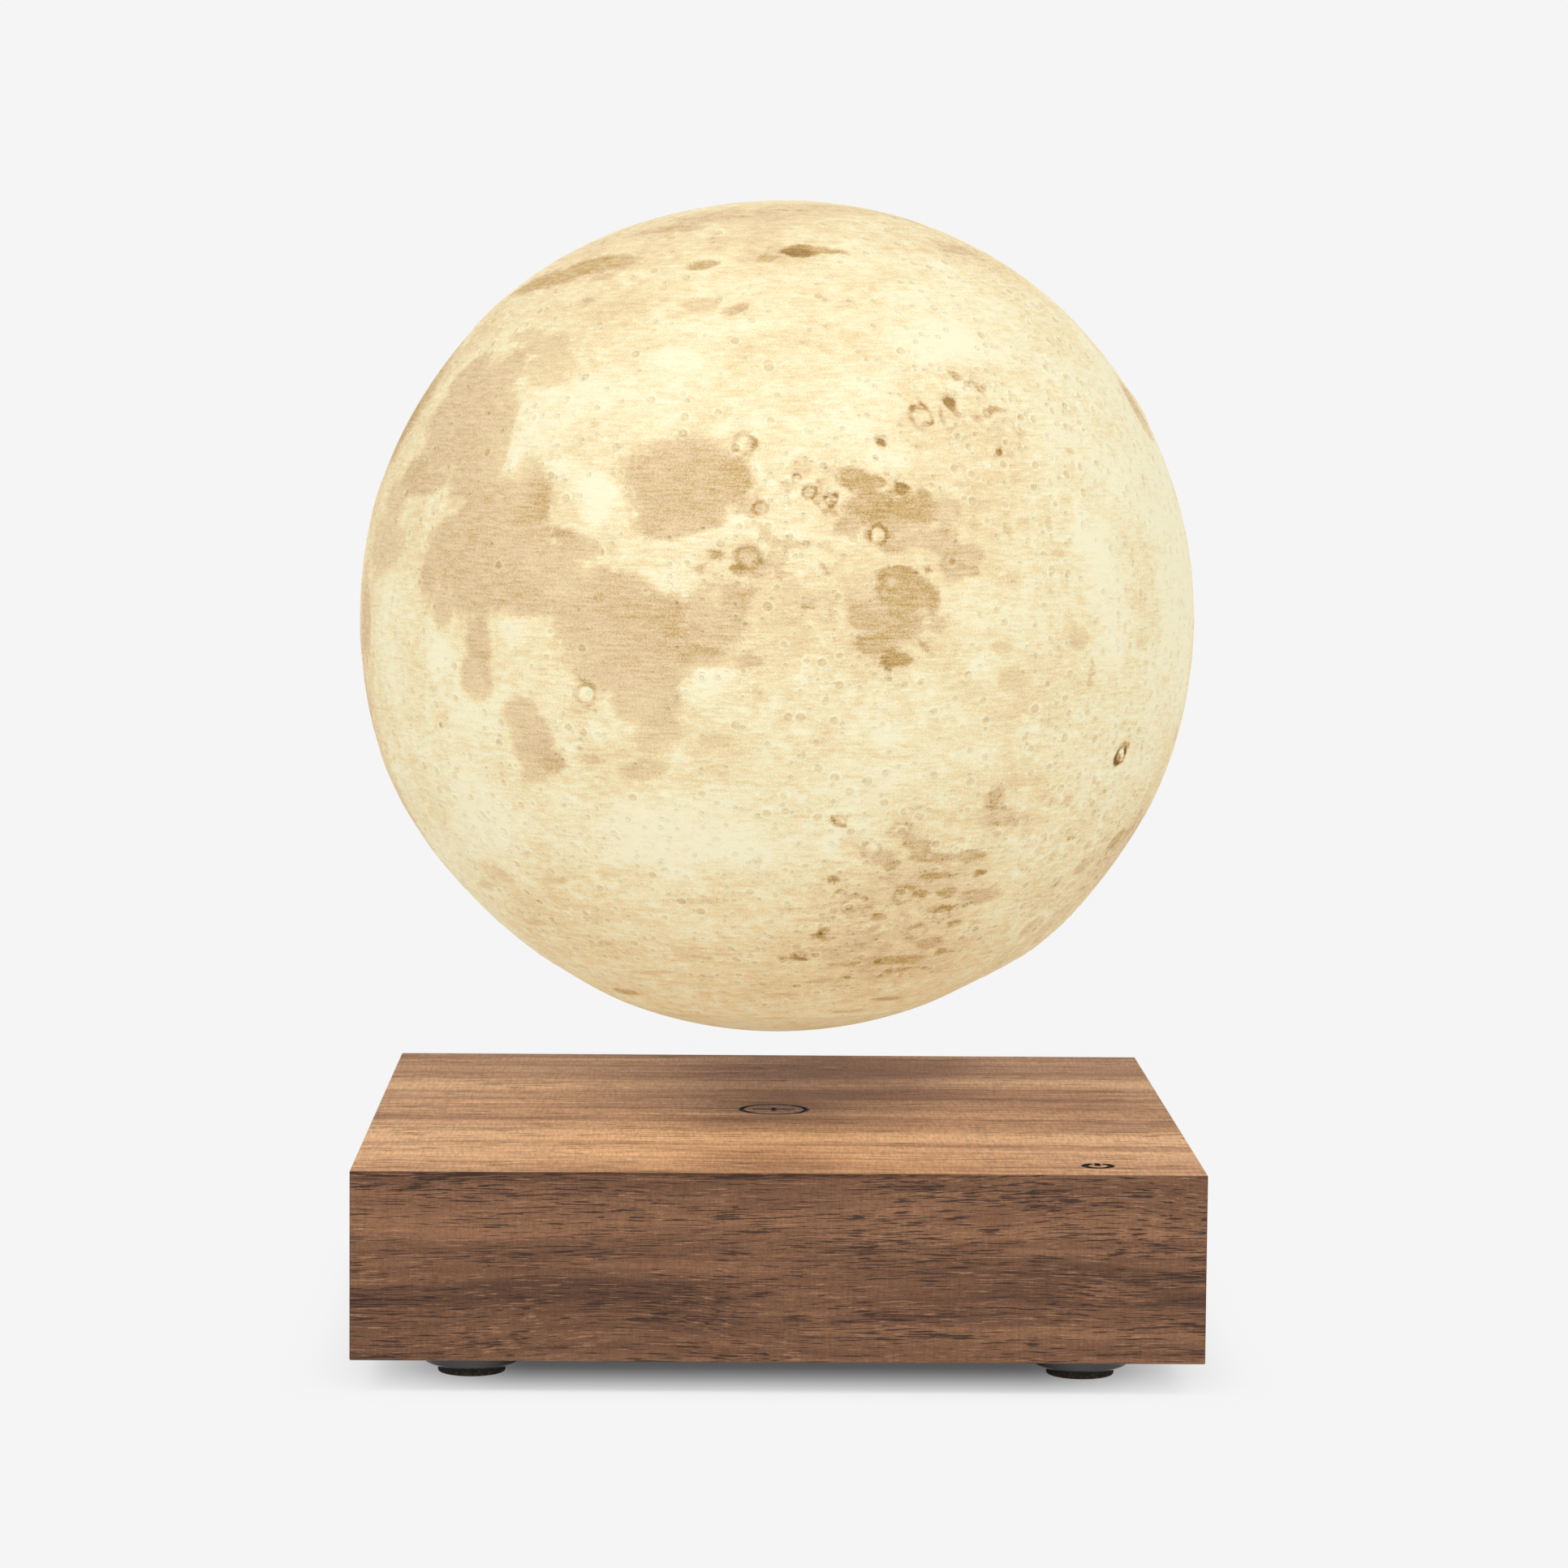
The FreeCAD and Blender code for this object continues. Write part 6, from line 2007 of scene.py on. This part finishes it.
@dataclass(frozen=True)
class Viewpoint:
    """Where the photograph was taken from: the camera's place, its turns in radians and its lens."""

    place: Triple = (mm(-15.35), mm(-1062.14), mm(203.26))
    yaw: float = 0.0160
    down: float = 0.0832
    roll: float = 0.0081
    focal_pixels: float = 6145.2
    picture_pixels: int = 1932
    sensor: float = 36.0
    clip: tuple[float, float] = (0.05, 20.0)

    def axes(self) -> Matrix:
        """The camera's own axes: to the right, up and away from what it sees.

        Returns:
            The axes, one in each column.
        """
        level = math.cos(self.down)
        ahead = Vector((math.sin(self.yaw) * level, math.cos(self.yaw) * level, -math.sin(self.down)))
        right = Vector((math.cos(self.yaw), -math.sin(self.yaw), 0.0))
        up = right.cross(ahead)
        turned_right = math.cos(self.roll) * right + math.sin(self.roll) * up
        turned_up = math.cos(self.roll) * up - math.sin(self.roll) * right
        return Matrix((turned_right, turned_up, -ahead)).transposed()

    def set_up(self) -> None:
        """Sets the scene's camera up there."""
        lens = bpy.data.cameras.new("camera")
        lens.sensor_width = self.sensor
        lens.lens = self.focal_pixels / self.picture_pixels * self.sensor
        lens.clip_start, lens.clip_end = self.clip
        holder = put_in_scene("camera", lens)
        holder.matrix_world = Matrix.Translation(self.place) @ self.axes().to_4x4()
        bpy.context.scene.camera = holder


@dataclass
class Studio:
    """A pale floor and backdrop, soft lamps and the camera."""

    pale: float = srgb(245, 245, 245)[0]
    sky: float = 0.15
    floor_albedo: float = 0.90
    floor_half: float = 4.0
    haze: float = 0.085
    near: float = mm(-30)
    far: float = mm(15)
    side_near: float = mm(-36)
    side_far: float = mm(18)
    lamps: tuple[SoftLamp, ...] = (
        SoftLamp("overhead", (0.0, -0.30, 1.70), 1.1, 0.06),
        SoftLamp("front", (-0.5, -2.2, 1.1), 1.4, 0.18),
        SoftLamp("low_front", (0.4, -2.4, 0.30), 0.8, 0.17),
        SoftLamp("left", (-1.05, -0.75, 1.65), 0.9, 0.41),
        SoftLamp("right", (1.05, -0.75, 1.65), 0.9, 0.37),
    )
    aim: Triple = (0.0, 0.0, 0.12)

    def seen_directly(self, graph: Graph) -> Socket:
        """1 for what the camera, a reflection or a refraction sees, and 0 for light on the object.

        Args:
            graph: The node tree that asks.

        Returns:
            1 or 0.
        """
        path = graph.add("ShaderNodeLightPath").outputs
        seen = graph.math("MAXIMUM", path["Is Camera Ray"], path["Is Glossy Ray"])
        return graph.math("MAXIMUM", seen, path["Is Transmission Ray"])

    def world(self) -> None:
        """Lights the scene softly from all round, and shows a pale backdrop."""
        world = bpy.data.worlds.new("studio")
        bpy.context.scene.world = world
        world.use_nodes = True
        graph = Graph(world.node_tree)
        seen = self.seen_directly(graph)
        strength = graph.between(seen, 0.0, 1.0, self.sky, self.pale)
        lit = graph.add("ShaderNodeBackground", {"Color": (1, 1, 1, 1), "Strength": strength})
        graph.add("ShaderNodeOutputWorld", {"Surface": lit.outputs[0]})

    def floor(self) -> None:
        """Lays the floor, which takes the casing's shadow and is as pale as the backdrop further out."""
        edge = self.floor_half
        corners = [(-edge, -edge, 0), (edge, -edge, 0), (edge, edge, 0), (-edge, edge, 0)]
        mesh = bpy.data.meshes.new("floor")
        mesh.from_pydata(corners, [], [(0, 1, 2, 3)])
        surface = Surface("floor")
        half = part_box("front_board")[1].x
        aside, ahead = (surface.minus(surface.math("ABSOLUTE", axis), half) for axis in surface.axes()[:2])
        shaded = surface.times(surface.between(aside, self.side_near, self.side_far, 1.0, 0.0),
                               surface.between(ahead, self.near, self.far, 1.0 - self.haze, 0.0))
        clear = surface.times(surface.minus(1.0, shaded), self.seen_directly(surface))
        chalk = surface.add("ShaderNodeBsdfDiffuse", {"Color": (*[self.floor_albedo] * 3, 1.0)})
        even = surface.add("ShaderNodeEmission", {"Color": (*[self.pale] * 3, 1.0), "Strength": 1.0})
        mixed = surface.add("ShaderNodeMixShader", {0: clear, 1: chalk.outputs[0], 2: even.outputs[0]})
        surface.add("ShaderNodeOutputMaterial", {"Surface": mixed.outputs[0]})
        add_piece("floor", mesh, surface.material)

    def build(self) -> None:
        """Sets the stage."""
        bpy.context.scene.view_settings.view_transform = "Standard"
        self.world()
        self.floor()
        for lamp in self.lamps:
            lamp.hang(Vector(self.aim))
        Viewpoint().set_up()
        log.info("studio is set")


def main() -> None:
    """Builds the lamp's looks in order, then the studio."""
    logging.basicConfig(level=logging.INFO, format="%(name)s: %(message)s")
    MoonGlobe().build()
    WalnutCasing().build()
    Feet().build()
    PowerInlet().build()
    LevitationModule().build()
    CasingElectronics().build()
    MoonLight().build()
    Studio().build()


if __name__ == "__main__":
    main()
